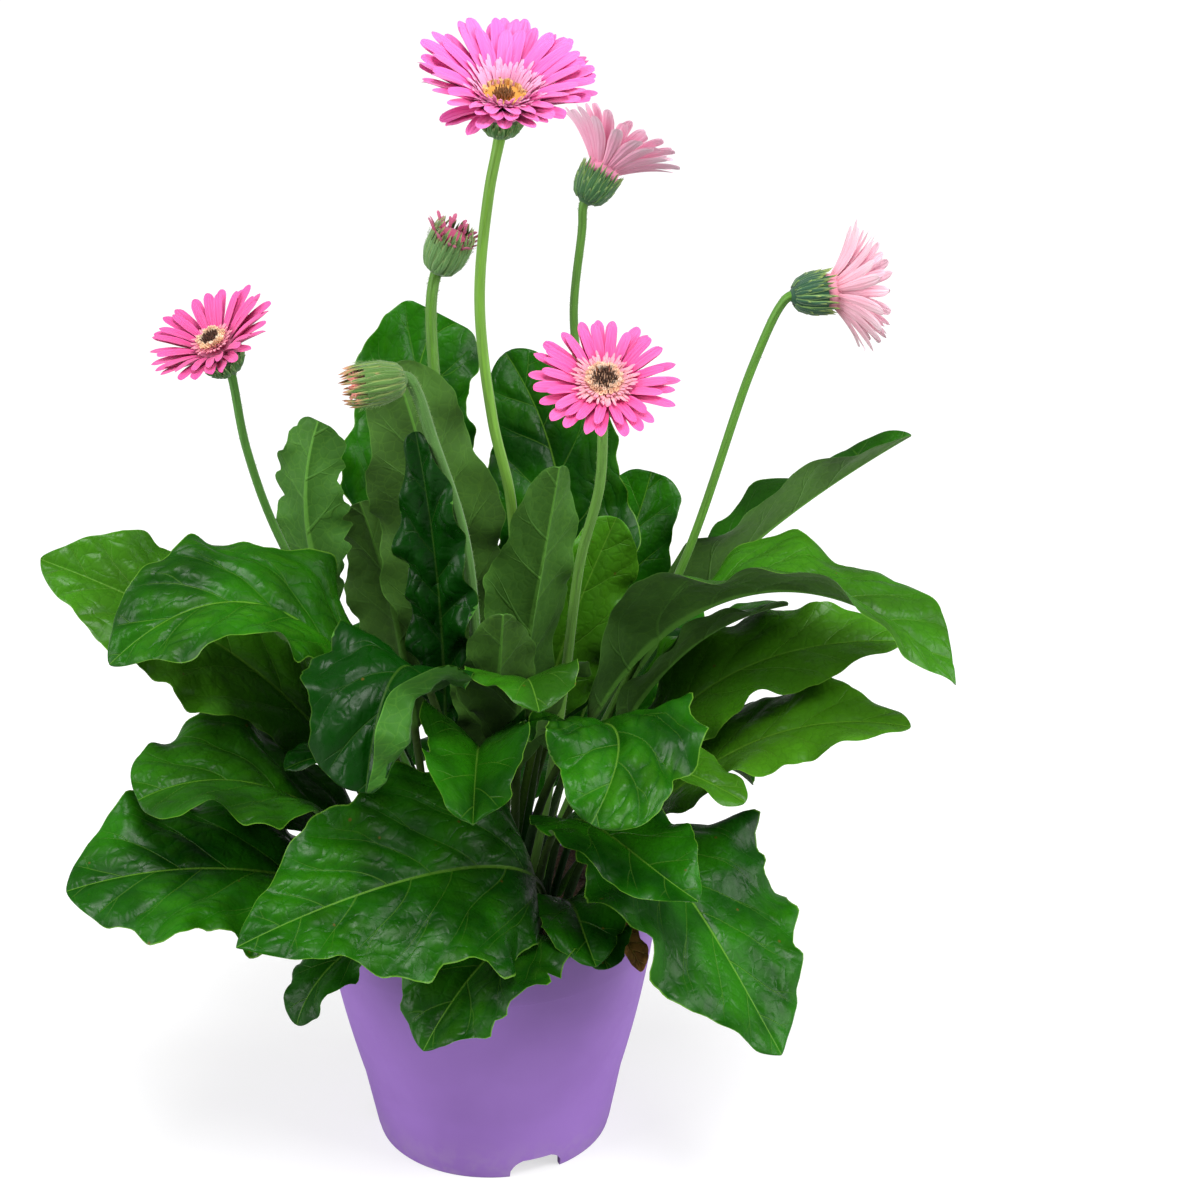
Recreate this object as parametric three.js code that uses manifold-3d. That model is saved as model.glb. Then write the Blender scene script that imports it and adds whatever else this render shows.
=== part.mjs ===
// A potted gerbera: a flared plastic pot filled with soil, a rosette of waved leaves on stalks,
// five open flower heads and two buds, each on a bare stem of its own.
// Millimetres, +Z up. The origin is the middle of the pot's foot, on the surface that it stands on.
import * as THREE from "three";
import { mergeVertices } from "three/addons/utils/BufferGeometryUtils.js";
import Module from "manifold-3d";

const wasm = await Module();
wasm.setup();

// ---- Driving dimensions ----------------------------------------------------------------------

const POT = {
  height: 135,
  rimRadius: 85,
  lip: 1.2, // rounding of the rim's edge
  bandRadius: 83, // lower edge of the near-upright rim band
  bandHeight: 112,
  bulge: 0.08, // how far the wall bows out between shoulder and band, as a share of the flare
  shoulderRadius: 67, // where the flare meets the steeper foot
  shoulderHeight: 36,
  footRadius: 60,
  footBevel: [1, 2], // inwards and upwards
  wall: 2.2,
  floorHeight: 12, // underside of the raised floor
  hubRadius: 26, // the middle of the floor dips to the ground again
  hubSlope: 4, // how much wider the hub is at the floor than at the ground
  skirt: 3.5, // thickness of the foot's skirt, which stands on the ground
  notches: 3,
  notchWidth: 27,
  notchHeight: 10,
  notchCorner: 6, // its upper corners are cut off
  notchAngle: -70, // azimuth of the first notch
  drainHoles: 6,
  drainRadius: 3.5,
  sides: 26,
};

const SOIL = {
  top: 119,
  clearance: 0.4, // to the pot
  lump: 1.2, // height of the lumps on the surface
  ringRadii: [70, 52, 28], // rings of points on the surface
  stalkHole: 4.1, // radius of the plain square holes that leaf stalks stand in
  stemHole: 4.7, // and of those for flower stems
  holeDepth: 10,
};

const BLADE = {
  halfThickness: 0.5, // half the blade, midway between rib and edge
  ribTop: 0.4,
  ribDepth: 2.2, // the rib stands out under the blade, less and less towards the tip
  ribTipDepth: 0.7,
  stalkHalfWidth: 2.6,
  stalkTop: 1.7,
  stalkBottom: 2.2,
  stalkShoulder: 0.85, // height of the stalk beside its middle, as a share of stalkTop
  stalkNeck: 0.8, // the stalk's size where the blade starts, as a share of its size at the soil
  buried: 7, // how far a stalk goes into the soil
  opening: 5, // the blade has its full form after one fifth of its length
  taper: 1.6, // how fast the blade narrows to both sides of its widest place
  widest: 0.52, // that place, as a share of the blade's length, on most leaves
  blunt: 0.15, // how much fuller than a plain oval most blades stay towards the tip
  reach: [0.42, 0.36], // how far a midrib keeps its first and last direction, as shares of its chord
  lobe: 0.09, // depth of the lobes along the edge, as a share of the half width
  lobeBeat: 21, // radians of lobes along a blade
  ruffle: 0.14, // height of the waves along the edge, as a share of the half width
  ruffleBeat: 15, // radians of waves along a blade
  ruffleShift: 1.3, // how far the waves of the two edges are out of step, in radians
  droop: 0.06, // how far the edges hang, as a share of the half width
  bend: 0.14, // width of the tight bend where an edge folds over, as a share of the half width
  longLeaf: 205, // leaves whose straight length is over this get one more cross-section
  stations: 7, // cross-sections along a blade
};

// Every leaf. root is the azimuth and radius at which its stalk leaves the soil and rise how steeply it
// leaves; tip is where it ends, running at dip and to the azimuth heading. width is the blade's width and
// stalk the share of the midrib that is bare stalk. The halves fold up by fold and the blade rolls about
// its midrib by roll, at the root and at the tip: a positive roll lifts the side to the left of the way
// that the leaf grows. widest, blunt and reach stand in for those of BLADE where a leaf has its own. curl
// is the side, 1 or -1, whose outer half folds over the blade, and by how many degrees.
const LEAVES = [
  // Front, low: broad blades that hang over the rim.
  { root: [-56, 38], rise: 60.5, tip: [-112, -148, 184], dip: -10, heading: -146,
    width: 108, stalk: 0.26, widest: 0.36, fold: [8, 10], roll: [-46, -36], blunt: 0.1, reach: [0.54, 0.42] },
  { root: [-68, 50], rise: 62, tip: [-32, -130, 118], dip: -50, heading: -135,
    width: 80, stalk: 0.3, widest: 0.42, fold: [10, 14], roll: [0, 6], blunt: 0.2, reach: [0.55, 0.45] },
  { root: [-52, 50], rise: 60, tip: [54, -100, 141], dip: -50, heading: -66,
    width: 34, stalk: 0.36, fold: [12, 12], roll: [0, 0], blunt: 0.4 },
  { root: [-25, 38], rise: 78, tip: [133, -129, 110], dip: -52, heading: -40,
    width: 106, stalk: 0.3, widest: 0.4, fold: [12, 10], roll: [-4, 0], blunt: 0.15, reach: [0.82, 0.42] },
  { root: [-46, 29], rise: 82, tip: [92, -142, 198], dip: -18, heading: -36,
    width: 60, stalk: 0.3, fold: [30, 16], roll: [10, 8], reach: [0.66, 0.36] },
  { root: [-64, 29], rise: 84, tip: [44, -148, 240], dip: -35, heading: -127,
    width: 79, stalk: 0.36, widest: 0.46, fold: [10, 12], roll: [-4, 0], blunt: 0.5, reach: [0.8, 0.5] },
  // Right side.
  { root: [-28, 29], rise: 84, tip: [119, -82, 217], dip: -22, heading: -26,
    width: 44, stalk: 0.34, fold: [26, 12], roll: [0, 0], blunt: 0.4, reach: [0.74, 0.36] },
  { root: [-10, 38], rise: 58, tip: [200, -54, 241], dip: -6, heading: -14,
    width: 64, stalk: 0.26, fold: [14, 10], roll: [18, 14] },
  { root: [6, 38], rise: 72, tip: [204, -8, 266], dip: -2, heading: -4,
    width: 70, stalk: 0.26, fold: [12, 10], roll: [20, 16], blunt: 0.1, reach: [0.48, 0.4] },
  { root: [-12, 19], rise: 82, tip: [218, -68, 268], dip: -46, heading: -30,
    width: 84, stalk: 0.24, fold: [40, 14], roll: [-30, 6], reach: [0.72, 0.42] },
  { root: [32, 29], rise: 73, tip: [214, 56, 351], dip: 26, heading: 12,
    width: 60, stalk: 0.3, fold: [44, 34], roll: [-44, -10] },
  { root: [60, 29], rise: 82, tip: [85, 68, 330], dip: 70, heading: 40,
    width: 57, stalk: 0.36, fold: [14, 12], roll: [30, 40], blunt: 0.6 },
  { root: [0, 8.5], rise: 84, tip: [64, 10, 326], dip: 66, heading: 0,
    width: 52, stalk: 0.42, fold: [16, 12], roll: [84, 88], blunt: 0.4 },
  { root: [-4, 29], rise: 76, tip: [150, 21, 275], dip: 4, heading: 10,
    width: 48, stalk: 0.4, fold: [30, 16], roll: [-30, -24], blunt: 0.3 },
  // Front, middle.
  { root: [-114, 29], rise: 86, tip: [-54, -126, 247], dip: -72, heading: -112,
    width: 74, stalk: 0.4, fold: [10, 14], roll: [-10, -10], blunt: 0.5, reach: [1.1, 0.5], curl: [1, 160] },
  { root: [-95, 29], rise: 95.5, tip: [-7, -160, 247], dip: -14, heading: -92,
    width: 60, stalk: 0.34, fold: [42, 36], roll: [0, 0], blunt: 0.6, reach: [0.74, 0.36] },
  { root: [-64, 19], rise: 78, tip: [23, -112, 278], dip: -28, heading: -80,
    width: 60, stalk: 0.4, fold: [24, 10], roll: [0, 0] },
  { root: [-92, 19], rise: 84, tip: [8, -64, 306], dip: 70, heading: -80,
    width: 42, stalk: 0.42, fold: [14, 20], roll: [0, 0], blunt: 0.3 },
  { root: [-40, 38], rise: 70, tip: [48, -113, 150], dip: -30, heading: -70,
    width: 44, stalk: 0.3, fold: [18, 12], roll: [0, 0] },
  // Left side.
  { root: [-160, 29], rise: 84, tip: [-170, -72, 288], dip: -42, heading: -166,
    width: 84, stalk: 0.24, fold: [20, 14], roll: [-24, -18], reach: [0.68, 0.42] },
  { root: [176, 38], rise: 74, tip: [-212, 4, 312], dip: 20, heading: 172,
    width: 80, stalk: 0.3, fold: [18, 14], roll: [-36, -44], blunt: 0, reach: [0.46, 0.36] },
  { root: [-152, 38], rise: 66, tip: [-162, -72, 220], dip: -22, heading: -165,
    width: 90, stalk: 0.24, fold: [20, 14], roll: [-10, -12], blunt: 0.5 },
  { root: [-170, 38], rise: 54, tip: [-166, -16, 208], dip: -14, heading: -172,
    width: 56, stalk: 0.28, fold: [10, 8], roll: [-8, -10] },
  { root: [-137, 38], rise: 46, tip: [-196, -84, 180], dip: -14, heading: -170,
    width: 98, stalk: 0.26, fold: [8, 8], roll: [-18, -22] },
  { root: [-118, 38], rise: 56, tip: [-92, -96, 113], dip: -70, heading: -135,
    width: 37, stalk: 0.36, fold: [12, 12], roll: [0, 0], blunt: 0.3, reach: [0.5, 0.4] },
  { root: [-130, 29], rise: 72, tip: [-96, -48, 223], dip: -16, heading: -150,
    width: 42, stalk: 0.34, fold: [16, 12], roll: [0, -6], reach: [0.6, 0.36] },
  // Middle, upright.
  { root: [162, 19], rise: 84, tip: [-77, 12, 376], dip: 70, heading: 10,
    width: 42, stalk: 0.6, fold: [12, 14], roll: [60, 66], blunt: 0.6 },
  { root: [98, 19], rise: 86, tip: [-21, 112, 402], dip: 56, heading: 40,
    width: 66, stalk: 0.4, fold: [10, 10], roll: [0, 0], blunt: 0.8 },
  { root: [-150, 19], rise: 86, tip: [-30, -43, 387], dip: 80, heading: 160,
    width: 36, stalk: 0.34, fold: [10, 8], roll: [170, 176], blunt: 0.4 },
  { root: [136, 19], rise: 88, tip: [-40, -18, 412], dip: 72, heading: -160,
    width: 62, stalk: 0.32, fold: [10, 18], roll: [40, 50], blunt: 0.5 },
  { root: [-60, 8.5], rise: 86, tip: [35, -33, 366], dip: 74, heading: -60,
    width: 48, stalk: 0.34, fold: [16, 26], roll: [-22, -24], blunt: 0.4 },
  { root: [42, 19], rise: 84, tip: [12, 46, 399], dip: 55, heading: 160,
    width: 70, stalk: 0.32, fold: [10, 10], roll: [0, 0], blunt: 0.35 },
  { root: [150, 29], rise: 80, tip: [-60, 28, 330], dip: 70, heading: 160,
    width: 44, stalk: 0.4, fold: [14, 12], roll: [100, 106], blunt: 0.5 },
  // Back.
  { root: [52, 38], rise: 66, tip: [104, 146, 226], dip: -24, heading: 50,
    width: 88, stalk: 0.28, fold: [12, 10], roll: [0, 0] },
  { root: [92, 38], rise: 68, tip: [-20, 176, 250], dip: -18, heading: 96,
    width: 90, stalk: 0.28, fold: [12, 10], roll: [0, 0] },
  { root: [132, 38], rise: 66, tip: [-122, 134, 206], dip: -26, heading: 134,
    width: 94, stalk: 0.28, fold: [12, 10], roll: [0, 0] },
  { root: [26, 38], rise: 52, tip: [146, 100, 150], dip: -44, heading: 30,
    width: 82, stalk: 0.28, fold: [10, 10], roll: [0, 0] },
  { root: [72, 38], rise: 56, tip: [8, 164, 134], dip: -34, heading: 88,
    width: 100, stalk: 0.28, fold: [10, 12], roll: [0, 0] },
];

// A small dried leaf that hangs over the rim.
const WITHERED = {
  root: [-36, 52], rise: 75, tip: [71.5, -75.5, 125], dip: -72, heading: -46,
  width: 17, stalk: 0.36, fold: [30, 36], roll: [0, 10],
};

const STEM = {
  radius: 3, // at the soil; thick is each stem's radius further up
  slimming: 3, // the stem has its own thickness after one third of its length
  sides: 5,
  step: 52, // length of one straight piece
};

const CUP = {
  radius: 10.5, // of an open head's cup; a bud has its own
  bracts: 8,
  budRise: 3, // how far a bud's bracts stand up over the head's back
};

const RAY = {
  root: 5, // radius at which a ray starts, inside the receptacle
  base: 1.3, // height of the outermost layer over the head's back
  thickness: 1.1,
  form: [[0, 0.26, 1], [0.5, 0.94, 1], [0.9, 0.78, 0.8]], // shares of length, width and thickness
  // The layers from the outermost inwards: how many rays fewer than the first has, their turn as a share
  // of the space between two rays, and length and width as shares of the head's own.
  layers: [
    { fewer: 0, turn: 0, length: 1, width: 0.2 },
    { fewer: 0, turn: 0.5, length: 0.95, width: 0.2 },
    { fewer: 6, turn: 0.25, length: 0.72, width: 0.16 },
  ],
  stand: 3, // degrees by which each layer stands steeper than the one outside it
  turnScatter: 2, // degrees
  liftScatter: 0.7, // degrees
  lengthScatter: 0.06, // share
};

const SEAT = -0.7; // underside of rays and tufts, just over the cup's flat top at -1
const RECEPTACLE = { radius: 8, step: 1.6, sides: 12 };

const DISC = {
  teeth: 10, // pointed florets of the collar
  gap: 1.5, // over the innermost rays
  spread: 0.44, // radius of the collar's points, as a share of the head's own disc
  collarLift: 12, // degrees by which the collar stands steeper than the outermost rays
};

const TUFT = { teeth: 9 };

// Every flower head: where its stem leaves the soil, the points that the stem passes, the middle of the
// head's back, the azimuth and elevation that it faces, the number of rays in a full layer and the reach
// of the longest from the axis, how steeply the rays stand up from the head's plane at root and tip, the
// size of its disc, the height of its cup of bracts, how far the bracts stand up over the head's back and
// the radius of the upper stem.
const FLOWERS = [
  { root: [60, 8.5], path: [[14, -6, 280], [13, -10, 342], [5, -10, 382], [0, -8, 438], [5, -3, 486]],
    centre: [11.5, -5, 523], face: [-78, 66], rays: 14, radius: 46, lift: [39, 29], disc: 46, cup: 11,
    rise: -0.5, thick: 2.5 },
  { root: [86, 29], path: [[32, 67, 316], [47, 64, 365], [46, 64, 417], [50, 62, 455]],
    centre: [59, 64, 481.5], face: [25, 56], rays: 12, radius: 38, lift: [52, 34], disc: 28, cup: 15,
    rise: 3, thick: 2.1 },
  { root: [14, 19], path: [[50, 8, 200], [97, 8, 304], [127, 3, 401], [139.5, 0, 432]],
    centre: [160.5, 1, 438], face: [8, 4], rays: 12, radius: 35, lift: [46, 36], disc: 28, cup: 16,
    rise: 3, thick: 2.1 },
  { root: [180, 8.5], path: [[-62, -2, 255], [-96, -3, 321], [-109, -14, 371]],
    centre: [-117.5, -24, 419], face: [-128, 58], rays: 12, radius: 33, lift: [34, 23], disc: 24, cup: 10,
    rise: -0.5, thick: 2 },
  { root: [-38, 19], path: [[30, -19, 200], [38, -26, 262], [44, -48, 325], [52, -70, 370]],
    centre: [52.5, -90, 417.5], face: [-90, 53], rays: 13, radius: 33.5, lift: [28, 16], disc: 32, cup: 10,
    rise: -0.5, thick: 2.3 },
];

// The same for the buds; radius is that of the closed cup.
const BUDS = [
  { root: [120, 8.5], path: [[-16, 26, 320], [-22, 30, 388], [-23, 38, 426]],
    centre: [-13, 38, 455.5], face: [-30, 62], radius: 11.5, cup: 17, thick: 2.7 },
  { root: [-120, 8.5], path: [[-4, -21, 250], [-9, -32, 330], [-23, -46, 386], [-29, -48, 407]],
    centre: [-52.5, -51, 411], face: [-170, -6], radius: 10.5, cup: 19, thick: 2.7 },
];

const COLOURS = {
  pot: 0x8f62bd,
  soil: 0x2c2018,
  leaf: 0x22691f,
  stem: 0x5c8a34,
  withered: 0x9a6a34,
  ray: 0xd6409f,
  disc: 0xe8c9a0,
};

// ---- Small helpers -----------------------------------------------------------------------------

const rad = THREE.MathUtils.degToRad;
const lerp = THREE.MathUtils.lerp;
const clamp = THREE.MathUtils.clamp;
const GOLDEN = rad(137.5); // turn between neighbours, so that no two leaves wave alike

/** Unit vector at an azimuth and an elevation above the horizon, in degrees. */
function direction(azimuth, elevation) {
  const a = rad(azimuth);
  const e = rad(elevation);
  return new THREE.Vector3(Math.cos(a) * Math.cos(e), Math.sin(a) * Math.cos(e), Math.sin(e));
}

/** The point at which a stalk or stem leaves the soil. */
function rootPoint([azimuth, radius]) {
  return direction(azimuth, 0).multiplyScalar(radius).setZ(SOIL.top);
}

/** Repeatable random numbers from -1 to 1. */
function scatterFrom(seed) {
  let state = seed;
  return () => {
    state = (state * 16807) % 2147483647;
    return (state / 2147483647) * 2 - 1;
  };
}

/** A solid for joining and cutting, from a closed geometry. */
function solidOf(geometry) {
  const bare = new THREE.BufferGeometry();
  bare.setAttribute("position", geometry.getAttribute("position"));
  if (geometry.index) bare.setIndex(geometry.index);
  const merged = mergeVertices(bare, 1e-4);
  const mesh = new wasm.Mesh({
    numProp: 3,
    vertProperties: merged.getAttribute("position").array,
    triVerts: new Uint32Array(merged.index.array),
  });
  return new wasm.Manifold(mesh);
}

function geometryOf(solid) {
  const mesh = solid.getMesh();
  const geometry = new THREE.BufferGeometry();
  geometry.setAttribute("position", new THREE.BufferAttribute(mesh.vertProperties, 3));
  return geometry.setIndex(new THREE.BufferAttribute(mesh.triVerts, 1));
}

function join(geometries) {
  return geometryOf(geometries.map(solidOf).reduce((whole, piece) => whole.add(piece)));
}

/**
 * A closed loft through rings of equal length, which run anticlockwise seen from the far end, with a flat
 * fan over each open end or, at the far end, an optional tip. mirrored(j) tells which quads take the other
 * diagonal, so that the two faces of a blade split alike.
 */
function loft(rings, tip, mirrored = () => false) {
  const size = rings[0].length;
  const last = (rings.length - 1) * size;
  const points = rings.flat();
  const faces = [];
  for (let i = 0; i < last; i += size)
    for (let j = 0; j < size; j++) {
      const next = (j + 1) % size;
      const [a, b, c, d] = [i + j, i + next, i + size + next, i + size + j];
      if (mirrored(j)) faces.push([a, b, d], [b, c, d]);
      else faces.push([a, b, c], [a, c, d]);
    }
  for (let j = 1; j + 1 < size; j++) faces.push([0, j + 1, j]);
  if (tip) {
    points.push(tip);
    for (let j = 0; j < size; j++) faces.push([last + j, last + ((j + 1) % size), points.length - 1]);
  } else for (let j = 1; j + 1 < size; j++) faces.push([last, last + j, last + j + 1]);
  const geometry = new THREE.BufferGeometry();
  const numbers = points.flatMap((point) => point.toArray());
  geometry.setAttribute("position", new THREE.Float32BufferAttribute(numbers, 3));
  return geometry.setIndex(faces.flat());
}

/** A closed solid of revolution about Z from [radius, height] pairs that start and end on the axis. */
function turned(profile, sides) {
  const points = profile.map(([radius, height]) => new THREE.Vector2(radius, height));
  return new THREE.LatheGeometry(points, sides).rotateX(Math.PI / 2);
}

/** A four-sided bar from one point to another. */
function bar(from, to, radius) {
  const along = to.clone().sub(from);
  const up = new THREE.Vector3(0, 1, 0);
  return new THREE.CylinderGeometry(radius, radius, along.length(), 4)
    .applyQuaternion(new THREE.Quaternion().setFromUnitVectors(up, along.clone().normalize()))
    .translate(...from.clone().add(to).multiplyScalar(0.5).toArray());
}

// ---- Pot and soil ------------------------------------------------------------------------------

/** Outer radius of the pot's wall between shoulder and band. */
function wallRadius(height) {
  const t = (height - POT.shoulderHeight) / (POT.bandHeight - POT.shoulderHeight);
  const bow = 4 * POT.bulge * t * (1 - t);
  return lerp(POT.shoulderRadius, POT.bandRadius, t + bow);
}

/** One drainage notch through the skirt, cut along +X. */
function notchCutter() {
  const half = POT.notchWidth / 2;
  const shape = new THREE.Shape();
  shape.moveTo(-half, -1).lineTo(half, -1);
  shape.lineTo(half, POT.notchHeight - POT.notchCorner);
  shape.lineTo(half - POT.notchCorner, POT.notchHeight);
  shape.lineTo(POT.notchCorner - half, POT.notchHeight);
  shape.lineTo(-half, POT.notchHeight - POT.notchCorner).closePath();
  return new THREE.ExtrudeGeometry(shape, { depth: 20, bevelEnabled: false })
    .rotateX(Math.PI / 2)
    .rotateZ(Math.PI / 2)
    .translate(POT.footRadius - POT.skirt - 5, 0, 0);
}

function potGeometry() {
  const floorTop = POT.floorHeight + POT.wall;
  const skirtRadius = POT.footRadius - POT.skirt;
  const middle = (POT.shoulderHeight + POT.bandHeight) / 2;
  const shell = turned(
    [
      [0, 0],
      [POT.hubRadius, 0],
      [POT.hubRadius + POT.hubSlope, POT.floorHeight],
      [skirtRadius, POT.floorHeight],
      [skirtRadius, 0],
      [POT.footRadius - POT.footBevel[0], 0],
      [POT.footRadius, POT.footBevel[1]],
      [POT.shoulderRadius, POT.shoulderHeight],
      [wallRadius(middle), middle],
      [POT.bandRadius, POT.bandHeight],
      [POT.rimRadius, POT.height - POT.lip],
      [POT.rimRadius - POT.lip, POT.height],
      [POT.rimRadius - POT.wall, POT.height - POT.lip],
      [POT.bandRadius - POT.wall, POT.bandHeight],
      [POT.shoulderRadius - POT.wall, POT.shoulderHeight],
      [skirtRadius, floorTop],
      [POT.hubRadius + POT.hubSlope - POT.wall, floorTop],
      [POT.hubRadius - POT.wall, POT.wall],
      [0, POT.wall],
    ],
    POT.sides,
  );
  const cutters = [];
  for (let i = 0; i < POT.notches; i++)
    cutters.push(notchCutter().rotateZ(rad(POT.notchAngle + (360 / POT.notches) * i)));
  for (let i = 0; i < POT.drainHoles; i++) {
    const azimuth = (360 / POT.drainHoles) * (i + 0.5);
    const place = direction(azimuth, 0).multiplyScalar((POT.hubRadius + POT.footRadius) / 2);
    const [under, over] = [POT.floorHeight - 3, floorTop + 3];
    cutters.push(bar(place.clone().setZ(under), place.clone().setZ(over), POT.drainRadius));
  }
  return geometryOf(cutters.map(solidOf).reduce((pot, cutter) => pot.subtract(cutter), solidOf(shell)));
}

/** Height of the lumpy soil surface. */
function soilHeight(x, y) {
  const large = Math.sin(x * 0.31 + 1) * Math.cos(y * 0.27);
  const small = Math.sin(x * 0.53 - y * 0.61);
  return SOIL.top + SOIL.lump * (large + 0.5 * small);
}

function soilGeometry() {
  const gap = POT.wall + SOIL.clearance;
  const floor = POT.floorHeight + gap;
  const body = turned(
    [
      [0, gap],
      [POT.hubRadius - gap, gap],
      [POT.hubRadius + POT.hubSlope - gap, floor],
      [POT.footRadius - POT.skirt - SOIL.clearance, floor],
      [POT.shoulderRadius - gap, POT.shoulderHeight],
      [POT.bandRadius - gap, POT.bandHeight],
      [POT.bandRadius - gap, SOIL.top - 2],
      ...SOIL.ringRadii.map((radius) => [radius, SOIL.top]),
      [0, SOIL.top],
    ],
    POT.sides,
  );
  const position = body.getAttribute("position");
  for (let i = 0; i < position.count; i++)
    if (position.getZ(i) > SOIL.top - 1) position.setZ(i, soilHeight(position.getX(i), position.getY(i)));
  const holes = [
    ...[...LEAVES, WITHERED].map((leaf) => [leaf.root, midrib(leaf).curve, SOIL.stalkHole]),
    ...[...FLOWERS, ...BUDS].map((head) => [head.root, stemCurve(head), SOIL.stemHole]),
  ];
  return geometryOf(
    holes.reduce((soil, [root, curve, radius]) => {
      const along = curve.getTangent(0).multiplyScalar(SOIL.holeDepth);
      const mouth = rootPoint(root);
      const hole = bar(mouth.clone().sub(along), mouth.clone().add(along), radius);
      return soil.subtract(solidOf(hole));
    }, solidOf(body)),
  );
}

// ---- Leaves ------------------------------------------------------------------------------------

/** The midrib: a cubic from the soil to the tip. */
function midrib(leaf) {
  const start = rootPoint(leaf.root);
  const end = new THREE.Vector3(...leaf.tip);
  const chord = start.distanceTo(end);
  const azimuth = THREE.MathUtils.radToDeg(Math.atan2(end.y - start.y, end.x - start.x));
  const rise = direction(leaf.root[0], leaf.rise);
  const dip = direction(leaf.heading, leaf.dip);
  const [first, second] = leaf.reach ?? BLADE.reach;
  const curve = new THREE.CubicBezierCurve3(
    start,
    start.clone().addScaledVector(rise, chord * first),
    end.clone().addScaledVector(dip, -chord * second),
    end,
  );
  return { curve, chord, azimuth };
}

/** How wide the blade is at s, from 0 at the stalk to 1 at the tip: 1 at its widest. */
function outline(s, widest = BLADE.widest, blunt = BLADE.blunt) {
  const p = BLADE.taper * widest;
  const q = BLADE.taper * (1 - widest);
  const share = (s ** p * (1 - s) ** q) / (widest ** p * (1 - widest) ** q);
  return share ** (1 - blunt * THREE.MathUtils.smoothstep(s, 0.4, 1));
}

/**
 * Where a place v across the blade lies from the midrib, outwards and upwards in shares of the half width:
 * a flat part and, on the side that folds over, a tight bend and the flap beyond it. Last the turn there.
 */
function edgeFold(leaf, s, v) {
  const wide = Math.abs(v);
  if (!leaf.curl || Math.sign(v) !== leaf.curl[0]) return [wide, 0, 0];
  const turn = rad(leaf.curl[1]) * THREE.MathUtils.smoothstep(s, 0.4, 0.75);
  const folded = Math.max(0, wide - 0.5);
  const bent = Math.min(folded, BLADE.bend);
  const halfway = (turn * bent) / (2 * BLADE.bend) + 1e-6;
  const chord = (bent * Math.sin(halfway)) / halfway;
  const flap = folded - bent;
  const out = wide - folded + chord * Math.cos(halfway) + flap * Math.cos(turn);
  return [out, chord * Math.sin(halfway) + flap * Math.sin(turn), turn];
}

/** One cross-section of stalk or blade: eight points, five over the top from edge to edge, three below. */
function leafSection(leaf, index, spine, u) {
  const on = clamp(u, 0, 1);
  const s = Math.max(0, (u - leaf.stalk) / (1 - leaf.stalk));
  const grown = Math.min(1, on / leaf.stalk);
  const along = spine.curve.getTangent(on);
  const centre = spine.curve.getPoint(on);
  if (u < 0) centre.addScaledVector(along, u * spine.chord);
  const side = direction(spine.azimuth + 90, 0);
  side.addScaledVector(along, -side.dot(along)).normalize();
  const over = new THREE.Vector3().crossVectors(along, side);
  const roll = rad(lerp(leaf.roll[0], leaf.roll[1], s)) * grown;
  const across = side.clone().multiplyScalar(Math.cos(roll)).addScaledVector(over, Math.sin(roll));
  const normal = over.clone().multiplyScalar(Math.cos(roll)).addScaledVector(side, -Math.sin(roll));
  const open = Math.min(1, s * BLADE.opening); // 0 on the stalk, 1 where the blade has its full form
  const fold = rad(lerp(leaf.fold[0], leaf.fold[1], s)) * open;
  const neck = lerp(1, BLADE.stalkNeck, grown);
  const phase = index * GOLDEN;
  const at = (v, lift) => {
    const hand = Math.sign(v);
    const lobe = 1 + BLADE.lobe * open * Math.sin(BLADE.lobeBeat * s + phase + hand);
    const blade = (leaf.width / 2) * outline(s, leaf.widest, leaf.blunt) * lobe;
    const half = Math.max(BLADE.stalkHalfWidth * neck * (1 - s), blade);
    const beat = Math.sin(BLADE.ruffleBeat * s + 2 * phase + BLADE.ruffleShift * hand);
    const wave = (BLADE.ruffle * beat - BLADE.droop) * v * v * open;
    const [outwards, upwards, turn] = edgeFold(leaf, s, v);
    const out = half * (outwards * Math.cos(fold) - upwards * Math.sin(fold)) - lift * Math.sin(turn / 2);
    const waved = Math.abs(v) === 1 ? wave * Math.cos(turn) : wave;
    const up = half * (outwards * Math.sin(fold) + upwards * Math.cos(fold) + waved);
    const height = up + lift * Math.cos(turn / 2);
    return centre.clone().addScaledVector(across, hand * out).addScaledVector(normal, height);
  };
  const top = lerp(BLADE.stalkTop * neck, BLADE.ribTop, open);
  const under = lerp(BLADE.stalkBottom * neck, lerp(BLADE.ribDepth, BLADE.ribTipDepth, s), open);
  const skin = lerp(BLADE.stalkTop * BLADE.stalkShoulder * neck, BLADE.halfThickness, open);
  return [
    at(1, 0),
    at(0.5, skin),
    at(0, top),
    at(-0.5, skin),
    at(-1, 0),
    at(-0.5, -skin),
    at(0, -under),
    at(0.5, -skin),
  ];
}

function leafGeometry(leaf, index) {
  const spine = midrib(leaf);
  const count = BLADE.stations + (spine.chord > BLADE.longLeaf ? 1 : 0);
  const shares = [-BLADE.buried / spine.chord, 0, leaf.stalk / 2, leaf.stalk];
  for (let i = 1; i < count; i++) shares.push(lerp(leaf.stalk, 1, i / count));
  const rings = shares.map((u) => leafSection(leaf, index, spine, u));
  return loft(rings, spine.curve.getPoint(1), (j) => j >= 4);
}

// ---- Stems and heads ---------------------------------------------------------------------------

/** A stem's line: from the soil through its points and into the head along the head's axis. */
function stemCurve(head) {
  const face = direction(...head.face);
  const centre = new THREE.Vector3(...head.centre);
  return new THREE.CatmullRomCurve3([
    rootPoint(head.root),
    ...head.path.map((point) => new THREE.Vector3(...point)),
    centre.clone().addScaledVector(face, -head.cup - 1),
    centre.clone().addScaledVector(face, -head.cup * 0.4),
  ]);
}

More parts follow.
